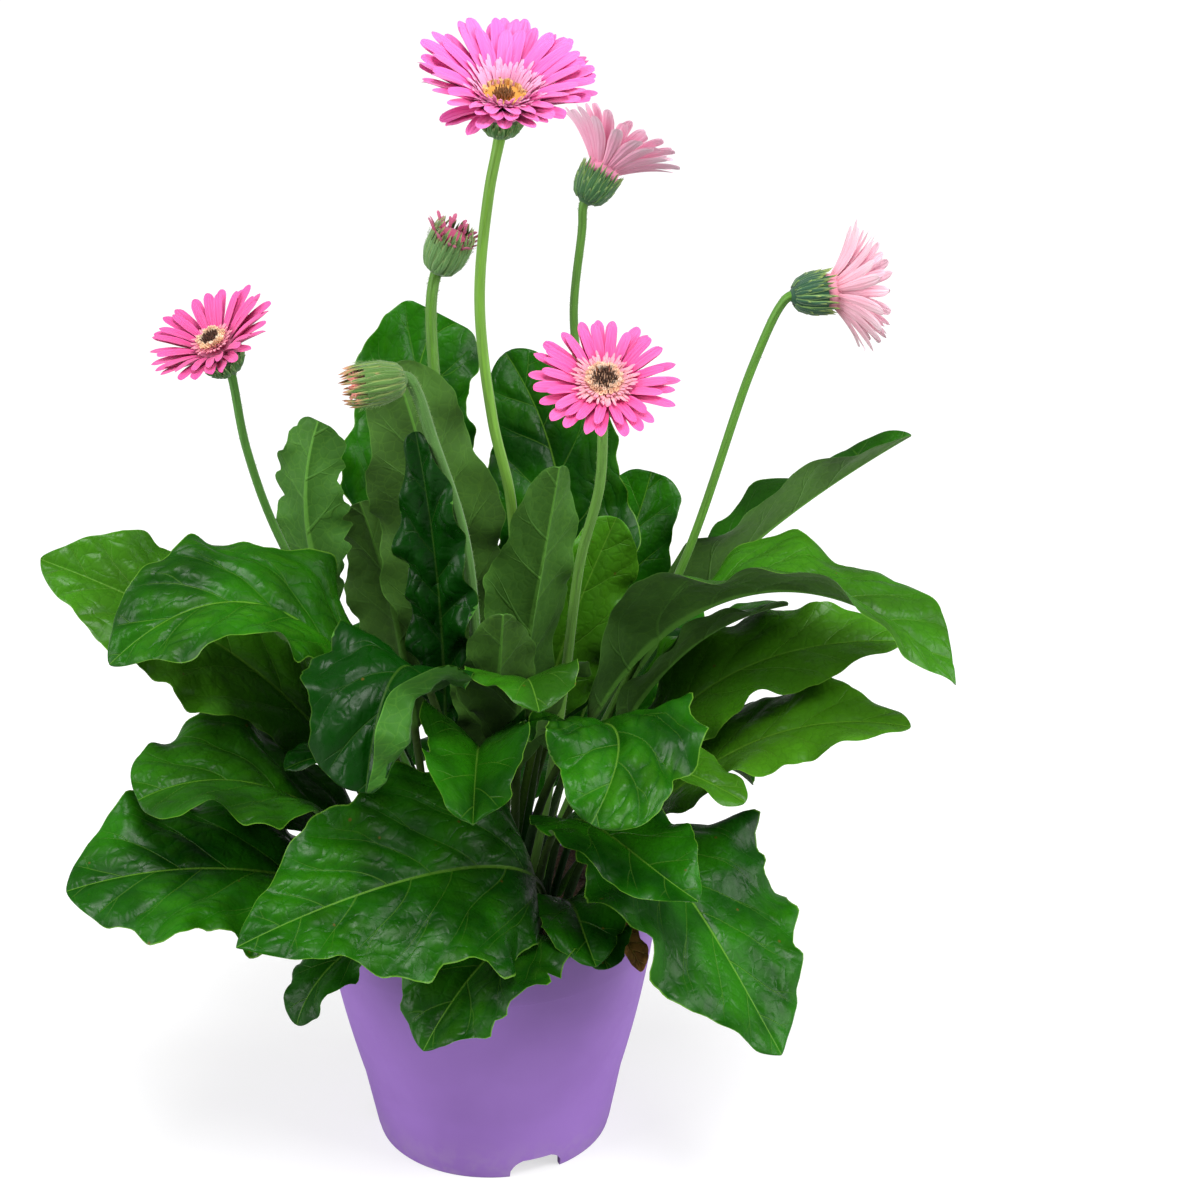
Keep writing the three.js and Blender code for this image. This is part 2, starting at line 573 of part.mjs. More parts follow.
/** A ring of points about a centre; size(j) gives each point's radius and its shift along the ring's axis. */
function ringAround(centre, across, over, size, sides) {
  const axis = new THREE.Vector3().crossVectors(across, over);
  return Array.from({ length: sides }, (_, j) => {
    const angle = (2 * Math.PI * j) / sides;
    const [radius, shift] = size(j);
    return centre
      .clone()
      .addScaledVector(across, radius * Math.cos(angle))
      .addScaledVector(over, radius * Math.sin(angle))
      .addScaledVector(axis, shift);
  });
}

/** The stem as a tube that starts in the soil and ends inside the cup. */
function stemGeometry(head) {
  const curve = stemCurve(head);
  const steps = Math.round(curve.getLength() / STEM.step) + 3;
  const frames = curve.computeFrenetFrames(steps);
  const rings = [];
  for (let i = 0; i <= steps; i++) {
    const centre = curve.getPointAt(i / steps);
    if (i === 0) centre.addScaledVector(frames.tangents[0], -BLADE.buried);
    const radius = lerp(STEM.radius, head.thick, Math.min(1, (STEM.slimming * i) / steps));
    const size = () => [radius, 0];
    rings.push(ringAround(centre, frames.normals[i], frames.binormals[i], size, STEM.sides));
  }
  return loft(rings);
}

const X = new THREE.Vector3(1, 0, 0);
const Y = new THREE.Vector3(0, 1, 0);
const Z = new THREE.Vector3(0, 0, 1);

/** A solid about Z made of rings, each from [radius, height] or, where it is toothed, from two by turns. */
function ringed(rings, sides) {
  return loft(
    rings.map(([out, into = out]) =>
      ringAround(new THREE.Vector3(), X, Y, (j) => (j % 2 ? into : out), sides),
    ),
  );
}

/** Turns a geometry that was made about Z so that it faces as the head does. */
function mounted(geometry, head) {
  const turn = new THREE.Quaternion().setFromUnitVectors(Z, direction(...head.face));
  return geometry.applyQuaternion(turn).translate(...head.centre);
}

/** The cup of bracts in two toothed rows, about Z with its rim near z = 0. */
function cupGeometry(head, radius, rise) {
  const h = head.cup;
  return ringed(
    [
      [[STEM.radius, -h - 1]],
      [[radius * 0.62, -h * 0.86]],
      [[radius * 0.98, -h * 0.42], [radius * 0.86, -h * 0.6]],
      [[radius * 0.84, -h * 0.5]],
      [[radius * 0.92, -h * 0.2], [radius * 1.08, rise]],
      [[radius * 0.78, -1]],
    ],
    CUP.bracts * 2,
  );
}

/** One ray floret: a thin three-sided section that widens from its root and ends in a blunt tip. */
function rayGeometry({ azimuth, height, length, width, lift }) {
  const side = direction(azimuth + 90, 0);
  const step = (elevation) => direction(azimuth, elevation).multiplyScalar(length / 2);
  const root = direction(azimuth, 0).multiplyScalar(RAY.root).setZ(height);
  const middle = root.clone().add(step(lift[0]));
  const tip = middle.clone().add(step(lift[1]));
  const curve = new THREE.QuadraticBezierCurve3(root, middle, tip);
  const rings = RAY.form.map(([t, broad, thick]) => {
    const centre = curve.getPoint(t);
    const up = new THREE.Vector3().crossVectors(curve.getTangent(t), side);
    const third = (thick * RAY.thickness) / 3;
    const edge = (hand) =>
      centre.clone().addScaledVector(side, (hand * broad * width) / 2).addScaledVector(up, -third);
    return [edge(1), centre.clone().addScaledVector(up, 2 * third), edge(-1)];
  });
  return loft(rings, tip);
}

/** All rays of an open head, in alternating layers on their receptacle. */
function raysGeometry(head, index) {
  const scatter = scatterFrom(index * 71 + 11);
  const top = RAY.layers.length * RECEPTACLE.step + 1.2;
  const { radius, sides } = RECEPTACLE;
  const pieces = [ringed([[[radius, SEAT]], [[radius, top]]], sides)];
  RAY.layers.forEach((layer, row) => {
    const count = head.rays - layer.fewer;
    for (let k = 0; k < count; k++) {
      const azimuth = (360 * (k + layer.turn)) / count + RAY.turnScatter * scatter();
      const length = (head.radius - RAY.root) * layer.length * (1 + RAY.lengthScatter * scatter());
      const lift = head.lift.map((angle) => angle + RAY.stand * row + RAY.liftScatter * scatter());
      const height = RAY.base + row * RECEPTACLE.step;
      pieces.push(rayGeometry({ azimuth, height, length, width: head.radius * layer.width, lift }));
    }
  });
  return mounted(join(pieces), head);
}

/** The disc: a low dome with a sunk middle, and a collar of short pointed florets. */
function discGeometry(head) {
  const base = RAY.layers.length * RECEPTACLE.step + DISC.gap;
  const r = head.disc;
  const slope = Math.tan(rad(head.lift[0] + DISC.collarLift));
  const foot = base + r * 0.075 * slope; // height of the collar's underside where the dome begins
  const dome = ringed(
    [
      [[r * 0.12, base]],
      [[r * DISC.spread, base + r * 0.3 * slope], [r * 0.2, base + 3]],
      [[r * 0.2, foot + 2.5], [r * 0.17, base + 4.4]],
      [[r * 0.14, foot + 3.6], [r * 0.11, base + 5.6]],
      [[r * 0.05, base + 4.4]],
    ],
    DISC.teeth * 2,
  );
  return mounted(dome, head);
}

/** The rays of a bud: a crown of upright tips that stands in the cup's mouth. */
function tuftGeometry(head) {
  const r = head.radius;
  const crown = ringed(
    [
      [[r * 0.5, SEAT]],
      [[r * 0.62, 2]],
      [[r * 0.86, 7.5], [r * 0.6, 4]],
      [[r * 0.3, 6]],
    ],
    TUFT.teeth * 2,
  );
  return mounted(crown, head);
}

// ---- The plant ---------------------------------------------------------------------------------

const part = new THREE.Group();

function add(name, geometry, color, roughness) {
  const material = new THREE.MeshStandardMaterial({ color, roughness, metalness: 0 });
  const mesh = new THREE.Mesh(geometry, material);
  mesh.name = name;
  part.add(mesh);
}

/** Stem and cup in one piece. */
function stalked(head, radius, rise) {
  return join([stemGeometry(head), mounted(cupGeometry(head, radius, rise), head)]);
}

const number = (index) => String(index + 1).padStart(2, "0");

add("pot", potGeometry(), COLOURS.pot, 0.5);
add("soil", soilGeometry(), COLOURS.soil, 0.95);
LEAVES.forEach((leaf, i) => add(`leaf_${number(i)}`, leafGeometry(leaf, i), COLOURS.leaf, 0.4));
add("withered_leaf", leafGeometry(WITHERED, LEAVES.length), COLOURS.withered, 0.9);
FLOWERS.forEach((head, i) => {
  add(`flower_${i + 1}_stem`, stalked(head, CUP.radius, head.rise), COLOURS.stem, 0.7);
  add(`flower_${i + 1}_rays`, raysGeometry(head, i), COLOURS.ray, 0.6);
  add(`flower_${i + 1}_disc`, discGeometry(head), COLOURS.disc, 0.8);
});
BUDS.forEach((head, i) => {
  add(`bud_${i + 1}_stem`, stalked(head, head.radius, CUP.budRise), COLOURS.stem, 0.8);
  add(`bud_${i + 1}_rays`, tuftGeometry(head), COLOURS.ray, 0.6);
});

export default part;
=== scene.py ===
import math
import random
from types import SimpleNamespace

import bmesh
import bpy
import numpy as np
from bpy.props import FloatProperty, FloatVectorProperty, IntProperty, PointerProperty
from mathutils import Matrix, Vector, noise


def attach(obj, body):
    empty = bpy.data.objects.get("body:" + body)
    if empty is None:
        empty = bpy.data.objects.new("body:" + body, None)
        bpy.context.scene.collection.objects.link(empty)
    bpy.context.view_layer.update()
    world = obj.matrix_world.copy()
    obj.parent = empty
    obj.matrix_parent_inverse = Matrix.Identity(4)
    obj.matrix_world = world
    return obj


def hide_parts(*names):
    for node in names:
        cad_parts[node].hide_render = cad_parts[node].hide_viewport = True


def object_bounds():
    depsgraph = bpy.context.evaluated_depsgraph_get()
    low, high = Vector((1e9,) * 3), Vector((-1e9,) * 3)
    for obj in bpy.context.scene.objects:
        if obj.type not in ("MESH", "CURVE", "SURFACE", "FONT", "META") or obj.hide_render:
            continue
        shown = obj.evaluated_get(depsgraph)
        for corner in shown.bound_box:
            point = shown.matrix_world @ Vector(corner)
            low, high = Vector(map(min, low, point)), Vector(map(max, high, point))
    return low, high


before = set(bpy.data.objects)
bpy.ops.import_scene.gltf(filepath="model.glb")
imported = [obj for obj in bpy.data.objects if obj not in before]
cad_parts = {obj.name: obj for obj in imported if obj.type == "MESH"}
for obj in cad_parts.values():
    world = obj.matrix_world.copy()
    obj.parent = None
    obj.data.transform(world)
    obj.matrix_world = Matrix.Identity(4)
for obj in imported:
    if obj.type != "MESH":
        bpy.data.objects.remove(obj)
CAD_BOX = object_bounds()

# A potted gerbera dressed for rendering: the violet pot, its compost, thirty-eight leaves on stalks,
# a dried leaf, five open heads and two buds. Sizes in the tables are millimetres; the meshes are metres.

bl_info = {
    "name": "Potted gerbera",
    "version": (1, 0, 0),
    "blender": (4, 5, 0),
    "location": "3D View > Sidebar > Gerbera",
    "description": "Builds a potted gerbera with waved leaves, open heads and buds",
    "category": "Add Mesh",
}

MM = 0.001
BODY = "root"
GOLDEN = math.radians(137.5)  # turn between neighbours, so that no two leaves wave alike

# ---- Sizes --------------------------------------------------------------------------------------

POT = SimpleNamespace(
    height=135, rim_radius=85, lip=1.2, band_radius=83, band_height=112, bulge=0.08,
    shoulder_radius=67, shoulder_height=36, foot_radius=60, wall=2.2, floor_height=12,
    hub_radius=26, hub_slope=4, skirt=3.5, notches=3, notch_width=27, notch_height=10,
    notch_corner=6, notch_angle=-70, drain_holes=6, drain_radius=3.5,
)
SOIL = SimpleNamespace(top=119, clearance=0.4, lump=1.2, rings=64, sides=200)
BLADE = SimpleNamespace(
    half_thickness=0.5, rib_depth=2.2, rib_tip_depth=0.7, stalk_half_width=2.6, stalk_top=1.7,
    stalk_bottom=2.2, stalk_neck=0.8, buried=7, opening=5, taper=1.6, lobe=0.09, lobe_beat=21,
    ruffle=0.14, ruffle_beat=15, ruffle_shift=1.3, droop=0.06, quilt=8.5, bend=0.14,
)
STEM_RADIUS = 3.0
CUP_RADIUS = 10.5
BUD_RISE = 3.0
RAY_ROOT = 5.0  # radius at which a ray starts, inside the receptacle
RAY_BASE = 1.3  # height of the outermost layer over the head's back
LAYER_STEP = 1.6
SEAT = -0.7
DISC_GAP = 1.5
CLOSED_FLORETS = 60
# Rings of open florets: their number, share of the ring's radius, length and radius.
OPEN_FLORETS = ((34, 1.0, 3.4, 0.62), (28, 0.86, 3.7, 0.58), (22, 0.74, 3.6, 0.54))
RAY_COLUMNS = 7
STEM_SIDES = 20
STEM_STEPS = 26  # between two of its points
STEM_HAIRS = 2600  # on a fully downy stem
CUP_HAIRS = 700
BUD_HAIRS = 900  # more of them on the cup of a bud
THIRDS = (0, 2.0944, 4.1888)  # the corners of a hair


def leaf(
    root, rise, tip, dip, heading, width, stalk, fold, roll, tone=0, pucker=0.5, widest=0.52,
    reach=(0.42, 0.36), blunt=0.15, jag=0.25, crimp=0.06, curl=(0, 0),
):
    """One leaf.

    root is the azimuth and radius at which its stalk leaves the compost and rise how steeply it leaves;
    tip is where it ends, running at dip and to the azimuth heading. reach says how far each end runs on
    its own way, as shares of the chord. width is the blade's width, widest where along the blade it is
    reached, and stalk the share of the midrib that is bare stalk. The halves fold up by fold and the
    blade rolls about its midrib by roll, at the root and at the tip. tone runs from -1, dark, to 1,
    light; it gives the blade's own green and also paints light and shade on it, darker for a blade in
    shade and lighter for a lit one. pucker is how strongly the blade swells between its veins, blunt how
    round its tip is, jag how deeply its edge is toothed and crimp how strongly it is frilled. curl is the
    side whose edge is folded over, and how far in degrees.
    """
    return SimpleNamespace(**locals())



LEAVES = [
    # Front, low, broad blades that hang over the rim.
    leaf((-56, 38), 60.5, (-112, -148, 184), -10, -146, 108, 0.26, (8, 10), (-46, -36), -0.3, 0.8,
         widest=0.36, blunt=0.1, reach=(0.54, 0.42)),
    leaf((-68, 50), 62, (-32, -130, 118), -50, -135, 80, 0.3, (10, 14), (0, 6), 0.1, 0.6,
         widest=0.42, blunt=0.2, reach=(0.55, 0.45), jag=0.9),
    leaf((-52, 50), 60, (54, -100, 141), -50, -66, 34, 0.36, (12, 12), (0, 0), -0.4, 0.2, blunt=0.4),
    leaf((-25, 38), 78, (133, -129, 110), -52, -40, 106, 0.3, (12, 10), (-4, 0), -0.1, 0.35,
         widest=0.4, blunt=0.15, reach=(0.82, 0.42)),
    leaf((-46, 29), 82, (92, -142, 198), -18, -36, 60, 0.3, (30, 16), (10, 8), 0, 0.3, reach=(0.66, 0.36)),
    leaf((-64, 29), 84, (44, -148, 240), -35, -127, 79, 0.36, (10, 12), (-4, 0), 0, 1.1,
         widest=0.46, blunt=0.5, reach=(0.8, 0.5), jag=0.6, crimp=0.1),
    # Right side.
    leaf((-28, 29), 84, (119, -82, 217), -22, -26, 44, 0.34, (26, 12), (0, 0), 0.5, 0.4,
         blunt=0.4, reach=(0.74, 0.36)),
    leaf((-10, 38), 58, (200, -54, 241), -6, -14, 64, 0.26, (14, 10), (18, 14), 0.7, 0.4),
    leaf((6, 38), 72, (204, -8, 266), -2, -4, 70, 0.26, (12, 10), (20, 16), 0.6, 0.25,
         blunt=0.1, reach=(0.48, 0.4)),
    leaf((-12, 19), 82, (218, -68, 268), -46, -30, 84, 0.24, (40, 14), (-30, 6), 0.4, 0.8,
         reach=(0.72, 0.42)),
    leaf((32, 29), 73, (214, 56, 351), 26, 12, 60, 0.3, (44, 34), (-44, -10), 0.2, 0.25),
    leaf((60, 29), 82, (85, 68, 330), 70, 40, 57, 0.36, (14, 12), (30, 40), -0.1, 0.4, blunt=0.6),
    leaf((0, 8.5), 84, (64, 10, 326), 66, 0, 52, 0.42, (16, 12), (84, 88), 0.6, 0.3, blunt=0.4),
    leaf((-4, 29), 76, (150, 21, 275), 4, 10, 48, 0.4, (30, 16), (-30, -24), 0.35, 0.4, blunt=0.3),
    # Front, middle.
    leaf((-114, 29), 86, (-54, -126, 247), -72, -112, 74, 0.4, (10, 14), (-10, -10), -0.9, 0.7,
         blunt=0.5, reach=(1.1, 0.5), curl=(1, 160)),
    leaf((-95, 29), 95.5, (-7, -160, 247), -14, -92, 60, 0.34, (42, 36), (0, 0), 0.1, 0.35,
         blunt=0.6, reach=(0.74, 0.36)),
    leaf((-64, 19), 78, (23, -112, 278), -28, -80, 60, 0.4, (24, 10), (0, 0), 0.3, 0.3),
    leaf((-92, 19), 84, (8, -64, 306), 70, -80, 42, 0.42, (14, 20), (0, 0), 0.1, 0.3, blunt=0.3),
    leaf((-40, 38), 70, (48, -113, 150), -30, -70, 44, 0.3, (18, 12), (0, 0), -0.3, 0.4),
    # Left side.
    leaf((-160, 29), 84, (-170, -72, 288), -42, -166, 84, 0.24, (20, 14), (-24, -18), 0.1, 1,
         reach=(0.68, 0.42)),
    leaf((176, 38), 74, (-212, 4, 312), 20, 172, 80, 0.3, (18, 14), (-36, -44), 0.5, 0.6,
         blunt=0, reach=(0.46, 0.36)),
    leaf((-152, 38), 66, (-162, -72, 220), -22, -165, 90, 0.24, (20, 14), (-10, -12), 0.2, 0.6, blunt=0.5),
    leaf((-170, 38), 54, (-166, -16, 208), -14, -172, 56, 0.28, (10, 8), (-8, -10), -0.25, 0.4),
    leaf((-137, 38), 46, (-196, -84, 180), -14, -170, 98, 0.26, (8, 8), (-18, -22), -0.1, 0.5),
    leaf((-118, 38), 56, (-92, -96, 113), -70, -135, 37, 0.36, (12, 12), (0, 0), -0.2, 0.3,
         blunt=0.3, reach=(0.5, 0.4)),
    leaf((-130, 29), 72, (-96, -48, 223), -16, -150, 42, 0.34, (16, 12), (0, -6), -0.8, 0.7,
         reach=(0.6, 0.36)),
    # Middle, upright.
    leaf((162, 19), 84, (-77, 12, 376), 70, 10, 42, 0.6, (12, 14), (60, 66), -0.6, 0.3, blunt=0.6, jag=2),
    leaf((98, 19), 86, (-21, 112, 402), 56, 40, 66, 0.4, (10, 10), (0, 0), -0.05, 0.5, blunt=0.8),
    leaf((-150, 19), 86, (-30, -43, 387), 80, 160, 36, 0.34, (10, 8), (170, 176), -1, 1.7,
         blunt=0.4, crimp=0.26),
    leaf((136, 19), 88, (-40, -18, 412), 72, -160, 62, 0.32, (10, 18), (40, 50), 0.1, 0.25, blunt=0.5),
    leaf((-60, 8.5), 86, (35, -33, 366), 74, -60, 48, 0.34, (16, 26), (-22, -24), -0.4, 0.3,
         blunt=0.4, jag=0.5),
    leaf((42, 19), 84, (12, 46, 399), 55, 160, 70, 0.32, (10, 10), (0, 0), -0.3, 0.7, blunt=0.35),
    leaf((150, 29), 80, (-60, 28, 330), 70, 160, 44, 0.4, (14, 12), (100, 106), 0.25, 0.4, blunt=0.5),
    # Back.
    leaf((52, 38), 66, (104, 146, 226), -24, 50, 88, 0.28, (12, 10), (0, 0), 0, 0.6),
    leaf((92, 38), 68, (-20, 176, 250), -18, 96, 90, 0.28, (12, 10), (0, 0), 0.1, 0.5),
    leaf((132, 38), 66, (-122, 134, 206), -26, 134, 94, 0.28, (12, 10), (0, 0), 0, 0.7),
    leaf((26, 38), 52, (146, 100, 150), -44, 30, 82, 0.28, (10, 10), (0, 0), -0.1, 0.5),
    leaf((72, 38), 56, (8, 164, 134), -34, 88, 100, 0.28, (10, 12), (0, 0), -0.1, 0.4),
]

# A small dried leaf that hangs over the rim.
WITHERED = leaf((-36, 52), 75, (71.5, -75.5, 125), -72, -46, 17, 0.36, (30, 36), (0, 10))

# Every head: root is where its stem leaves the compost and path the points that the stem passes. centre
# is the middle of the head's back, face the azimuth and elevation that it faces, radius its radius and
# disc the size that its collar and ring are shares of. lift is how steeply its rays stand up from the
# head's plane at root and tip, cup the height of its cup, and rise how far the bracts reach over the
# head's back. layers holds number, length, width and extra lift of each row of rays; collar and tips
# hold the like. front is how far the rays in front sink, and drooping names azimuth, reach and fall
# of rays that hang. hair is how downy the stem is and thick its radius under the head.
USUAL_HEAD = dict(
    rise=-0.5, ring=0.2, drooping=(), front=0, lean=-2, shut=0.75, closed=None,
    bract=(0.05, 0.17, 0.03), bract_edge=(0.24, 0.42, 0.12), bract_tip=(0.3, 0.4, 0.14),
)


def open_head(**given):
    """A head with the usual value for whatever isn't given."""
    return SimpleNamespace(**{**USUAL_HEAD, **given})


FLOWERS = [
    open_head(
        root=(60, 8.5), path=[(14, -6, 280), (13, -10, 342), (5, -10, 382), (0, -8, 438), (5, -3, 486)],
        centre=(11.5, -5, 523), face=(-78, 66), radius=46, disc=46, ring=0.235, lift=(39, 29), cup=11,
        thick=2.5, hair=0.0, stem=(0.16, 0.37, 0.03),
        layers=[(24, 1.0, 0.155, -1), (24, 0.97, 0.155, 1), (20, 0.86, 0.145, 3)],
        drooping=((-130, 20, 24),), front=0.45, collar=[(62, 0.31, 1.9), (58, 0.26, 1.8), (50, 0.19, 1.6)],
        lean=7, shut=0.38, closed=(0.2, 0.085, 0.02),
        face_colours=[(0.74, 0.06, 0.34), (0.94, 0.09, 0.44), (0.98, 0.13, 0.53), (0.99, 0.3, 0.66)],
        back_colours=[(0.8, 0.16, 0.4), (0.95, 0.24, 0.56), (0.98, 0.36, 0.66), (0.66, 0.16, 0.38)],
        collar_colours=[(0.98, 0.62, 0.58), (0.98, 0.42, 0.66), (0.99, 0.52, 0.76), (0.99, 0.34, 0.62)],
        ring_colours=[(0.9, 0.46, 0.08), (0.99, 0.62, 0.16), (1.0, 0.84, 0.44), (0.42, 0.17, 0.03)],
        bract=(0.06, 0.2, 0.03), bract_edge=(0.25, 0.42, 0.12), bract_tip=(0.3, 0.36, 0.12),
    ),
    open_head(
        root=(86, 29), path=[(32, 67, 316), (47, 64, 365), (46, 64, 417), (50, 62, 455)],
        centre=(59, 64, 481.5), face=(25, 56), radius=38, disc=28, lift=(52, 34), cup=15, rise=3, thick=2.1,
        hair=0.15, stem=(0.1, 0.27, 0.025),
        layers=[(18, 1.0, 0.165, -6), (16, 0.96, 0.16, 2), (14, 0.86, 0.14, 9)],
        collar=[(34, 0.3, 1.3), (30, 0.24, 1.2)],
        face_colours=[(0.94, 0.34, 0.52), (0.99, 0.46, 0.64), (1.0, 0.6, 0.74), (1.0, 0.78, 0.86)],
        back_colours=[(0.96, 0.36, 0.54), (1.0, 0.47, 0.66), (1.0, 0.72, 0.86), (0.78, 0.25, 0.42)],
        collar_colours=[(0.9, 0.6, 0.62), (0.95, 0.62, 0.7), (0.98, 0.78, 0.82), (0.99, 0.9, 0.92)],
        ring_colours=[(0.6, 0.4, 0.15), (0.9, 0.62, 0.28), (0.97, 0.8, 0.45), (0.35, 0.18, 0.06)],
        bract=(0.03, 0.13, 0.03), bract_edge=(0.22, 0.42, 0.1), bract_tip=(0.36, 0.5, 0.16),
    ),
    open_head(
        root=(14, 19), path=[(50, 8, 200), (97, 8, 304), (127, 3, 401), (139.5, 0, 432)],
        centre=(160.5, 1, 438), face=(8, 4), radius=35, disc=28, lift=(46, 36), cup=16, rise=3, thick=2.1,
        hair=0.05, stem=(0.1, 0.29, 0.018),
        layers=[(18, 1.0, 0.16, -6), (18, 0.96, 0.16, 3), (16, 0.9, 0.14, 10)],
        collar=[(34, 0.32, 1.3), (30, 0.25, 1.2)],
        face_colours=[(0.96, 0.5, 0.6), (0.99, 0.62, 0.74), (1.0, 0.74, 0.82), (1.0, 0.86, 0.92)],
        back_colours=[(0.95, 0.4, 0.5), (1.0, 0.58, 0.7), (1.0, 0.82, 0.9), (0.84, 0.28, 0.4)],
        collar_colours=[(0.9, 0.6, 0.62), (0.95, 0.66, 0.72), (0.98, 0.8, 0.84), (0.99, 0.92, 0.92)],
        ring_colours=[(0.6, 0.4, 0.15), (0.9, 0.62, 0.28), (0.97, 0.8, 0.45), (0.35, 0.18, 0.06)],
        bract=(0.02, 0.1, 0.045), bract_edge=(0.26, 0.46, 0.12), bract_tip=(0.5, 0.66, 0.16),
    ),
    open_head(
        root=(180, 8.5), path=[(-62, -2, 255), (-96, -3, 321), (-109, -14, 371)],
        centre=(-117.5, -24, 419), face=(-128, 58), radius=33, disc=24, lift=(34, 23), cup=10, thick=2,
        hair=0.25, stem=(0.07, 0.24, 0.02),
        layers=[(24, 1.0, 0.16, 0), (18, 0.86, 0.13, 4)], collar=[(52, 0.25, 1.15), (44, 0.17, 1.0)],
        face_colours=[(0.56, 0.03, 0.18), (0.72, 0.035, 0.23), (0.79, 0.055, 0.31), (0.9, 0.17, 0.46)],
        back_colours=[(0.45, 0.1, 0.2), (0.62, 0.14, 0.3), (0.7, 0.22, 0.4), (0.36, 0.1, 0.18)],
        collar_colours=[(0.97, 0.66, 0.5), (0.94, 0.42, 0.46), (0.93, 0.28, 0.42), (0.9, 0.24, 0.36)],
        ring_colours=[(0.8, 0.5, 0.26), (0.97, 0.74, 0.5), (1.0, 0.88, 0.68), (0.45, 0.2, 0.1)],
    ),
    open_head(
        root=(-38, 19), path=[(30, -19, 200), (38, -26, 262), (44, -48, 325), (52, -70, 370)],
        centre=(52.5, -90, 417.5), face=(-90, 53), radius=33.5, disc=32, lift=(28, 16), cup=10, thick=2.3,
        hair=0.4, stem=(0.13, 0.32, 0.035),
        layers=[(23, 1.0, 0.165, 0), (21, 0.85, 0.135, 4)], collar=[(64, 0.29, 1.25), (56, 0.2, 1.1)],
        face_colours=[(0.74, 0.045, 0.24), (0.91, 0.045, 0.28), (0.95, 0.075, 0.37), (0.98, 0.24, 0.54)],
        back_colours=[(0.5, 0.14, 0.24), (0.7, 0.2, 0.36), (0.8, 0.28, 0.46), (0.42, 0.14, 0.22)],
        collar_colours=[(0.98, 0.76, 0.56), (0.97, 0.52, 0.52), (0.96, 0.34, 0.5), (0.93, 0.3, 0.42)],
        ring_colours=[(0.8, 0.45, 0.26), (0.98, 0.74, 0.56), (1.0, 0.88, 0.72), (0.5, 0.22, 0.12)],
    ),
]
BUDS = [
    SimpleNamespace(
        root=(120, 8.5), path=[(-16, 26, 320), (-22, 30, 388), (-23, 38, 426)],
        centre=(-13, 38, 455.5), face=(-30, 62), radius=11.5, cup=17, thick=2.7, hair=0.4,
        stem=(0.11, 0.3, 0.02), tips=[(18, 0.7, 9.5, 60), (12, 0.46, 8.5, 74)],
        tip_colours=[(0.5, 0.05, 0.13), (0.64, 0.09, 0.22), (0.78, 0.2, 0.36), (0.36, 0.03, 0.09)],
        bract=(0.15, 0.34, 0.09), bract_edge=(0.3, 0.48, 0.16), bract_tip=(0.48, 0.56, 0.22),
    ),
    SimpleNamespace(
        root=(-120, 8.5), path=[(-4, -21, 250), (-9, -32, 330), (-23, -46, 386), (-29, -48, 407)],
        centre=(-52.5, -51, 411), face=(-170, -6), radius=10.5, cup=19, thick=2.7, hair=0.6,
        stem=(0.09, 0.24, 0.04), tips=[(10, 0.55, 7, 74), (7, 0.3, 7, 84)],
        tip_colours=[(0.8, 0.24, 0.17), (0.86, 0.32, 0.26), (0.9, 0.4, 0.34), (0.7, 0.2, 0.15)],
        bract=(0.09, 0.22, 0.03), bract_edge=(0.34, 0.44, 0.12), bract_tip=(0.86, 0.32, 0.22),
    ),
]

# The camera: its focal length in pixels of a picture that is width pixels wide, its place, in metres,
# and how far it looks down and to the side.
VIEW = SimpleNamespace(
    sensor=36, focal=2418, width=1200, place=(0, -1.09027, 0.70803), down=21.078, turn=-2.915,
)

# ---- Settings that a user would change ------------------------------------------------------------


def colour(name, description, value):
    return FloatVectorProperty(
        name=name, description=description, default=value, size=3, min=0, max=1, subtype="COLOR"
    )


def length(name, description, value, most, least=0):
    limits = dict(min=least, max=most)
    return FloatProperty(name=name, description=description, default=value, unit="LENGTH", **limits)


class GerberaPotSettings(bpy.types.PropertyGroup):
    """Sizes and colour of the pot and what fills it."""

    sides: IntProperty(name="Sides", description="Facets round the pot", default=160, min=24, max=512)
    band_step: length("Band step", "How far the rim band stands out over the wall", 0.0005, 0.002)
    plastic: colour("Plastic", "Colour of the pot", (0.30, 0.15, 0.51))
    compost: colour("Compost", "Colour of moist compost", (0.022, 0.013, 0.008))
    crumb: length("Crumb height", "Height of the crumbs on the compost", 0.0024, 0.006)


class GerberaLeafSettings(bpy.types.PropertyGroup):
    """Relief and colours of the leaves."""

    cell: length("Cell", "Size of one face of a blade", 0.0019, 0.02, 0.001)
    vein_spacing: length("Vein spacing", "Distance of the side veins along the midrib", 0.026, 0.08, 0.005)
    swell: length("Swell", "Height of the swellings between the veins", 0.0026, 0.006)
    upper: colour("Upper side", "Main green of the upper side", (0.014, 0.125, 0.0015))
    upper_dark: colour("Upper side, dark", "Deep green of shaded and old blades", (0.0018, 0.033, 0.0010))
    # The light green is the green of young blades. It also paints highlights on the swellings between the
    # veins, and light on blades with a high tone.
    upper_light: colour("Upper side, light", "Fresh green of young blades", (0.078, 0.255, 0.010))
    under: colour("Underside", "Pale green of the downy underside", (0.056, 0.155, 0.018))
    vein: colour("Veins", "Yellow green of midrib, veins and edge", (0.15, 0.34, 0.03))
    dried: colour("Dried leaf", "Brown of a dried leaf", (0.36, 0.17, 0.045))


class GerberaHeadSettings(bpy.types.PropertyGroup):
    """Detail and colours of heads, buds and stems."""

    ray_rows: IntProperty(name="Ray rows", description="Cross-sections of one ray", default=12, min=4, max=40)
    hair_length: length("Hair length", "Length of the down on stems and bracts", 0.0011, 0.004)
    hair: colour("Hair", "Colour of the down", (0.28, 0.43, 0.16))
    anther: colour("Anthers", "Dark brown of the closed middle", (0.06, 0.022, 0.01))


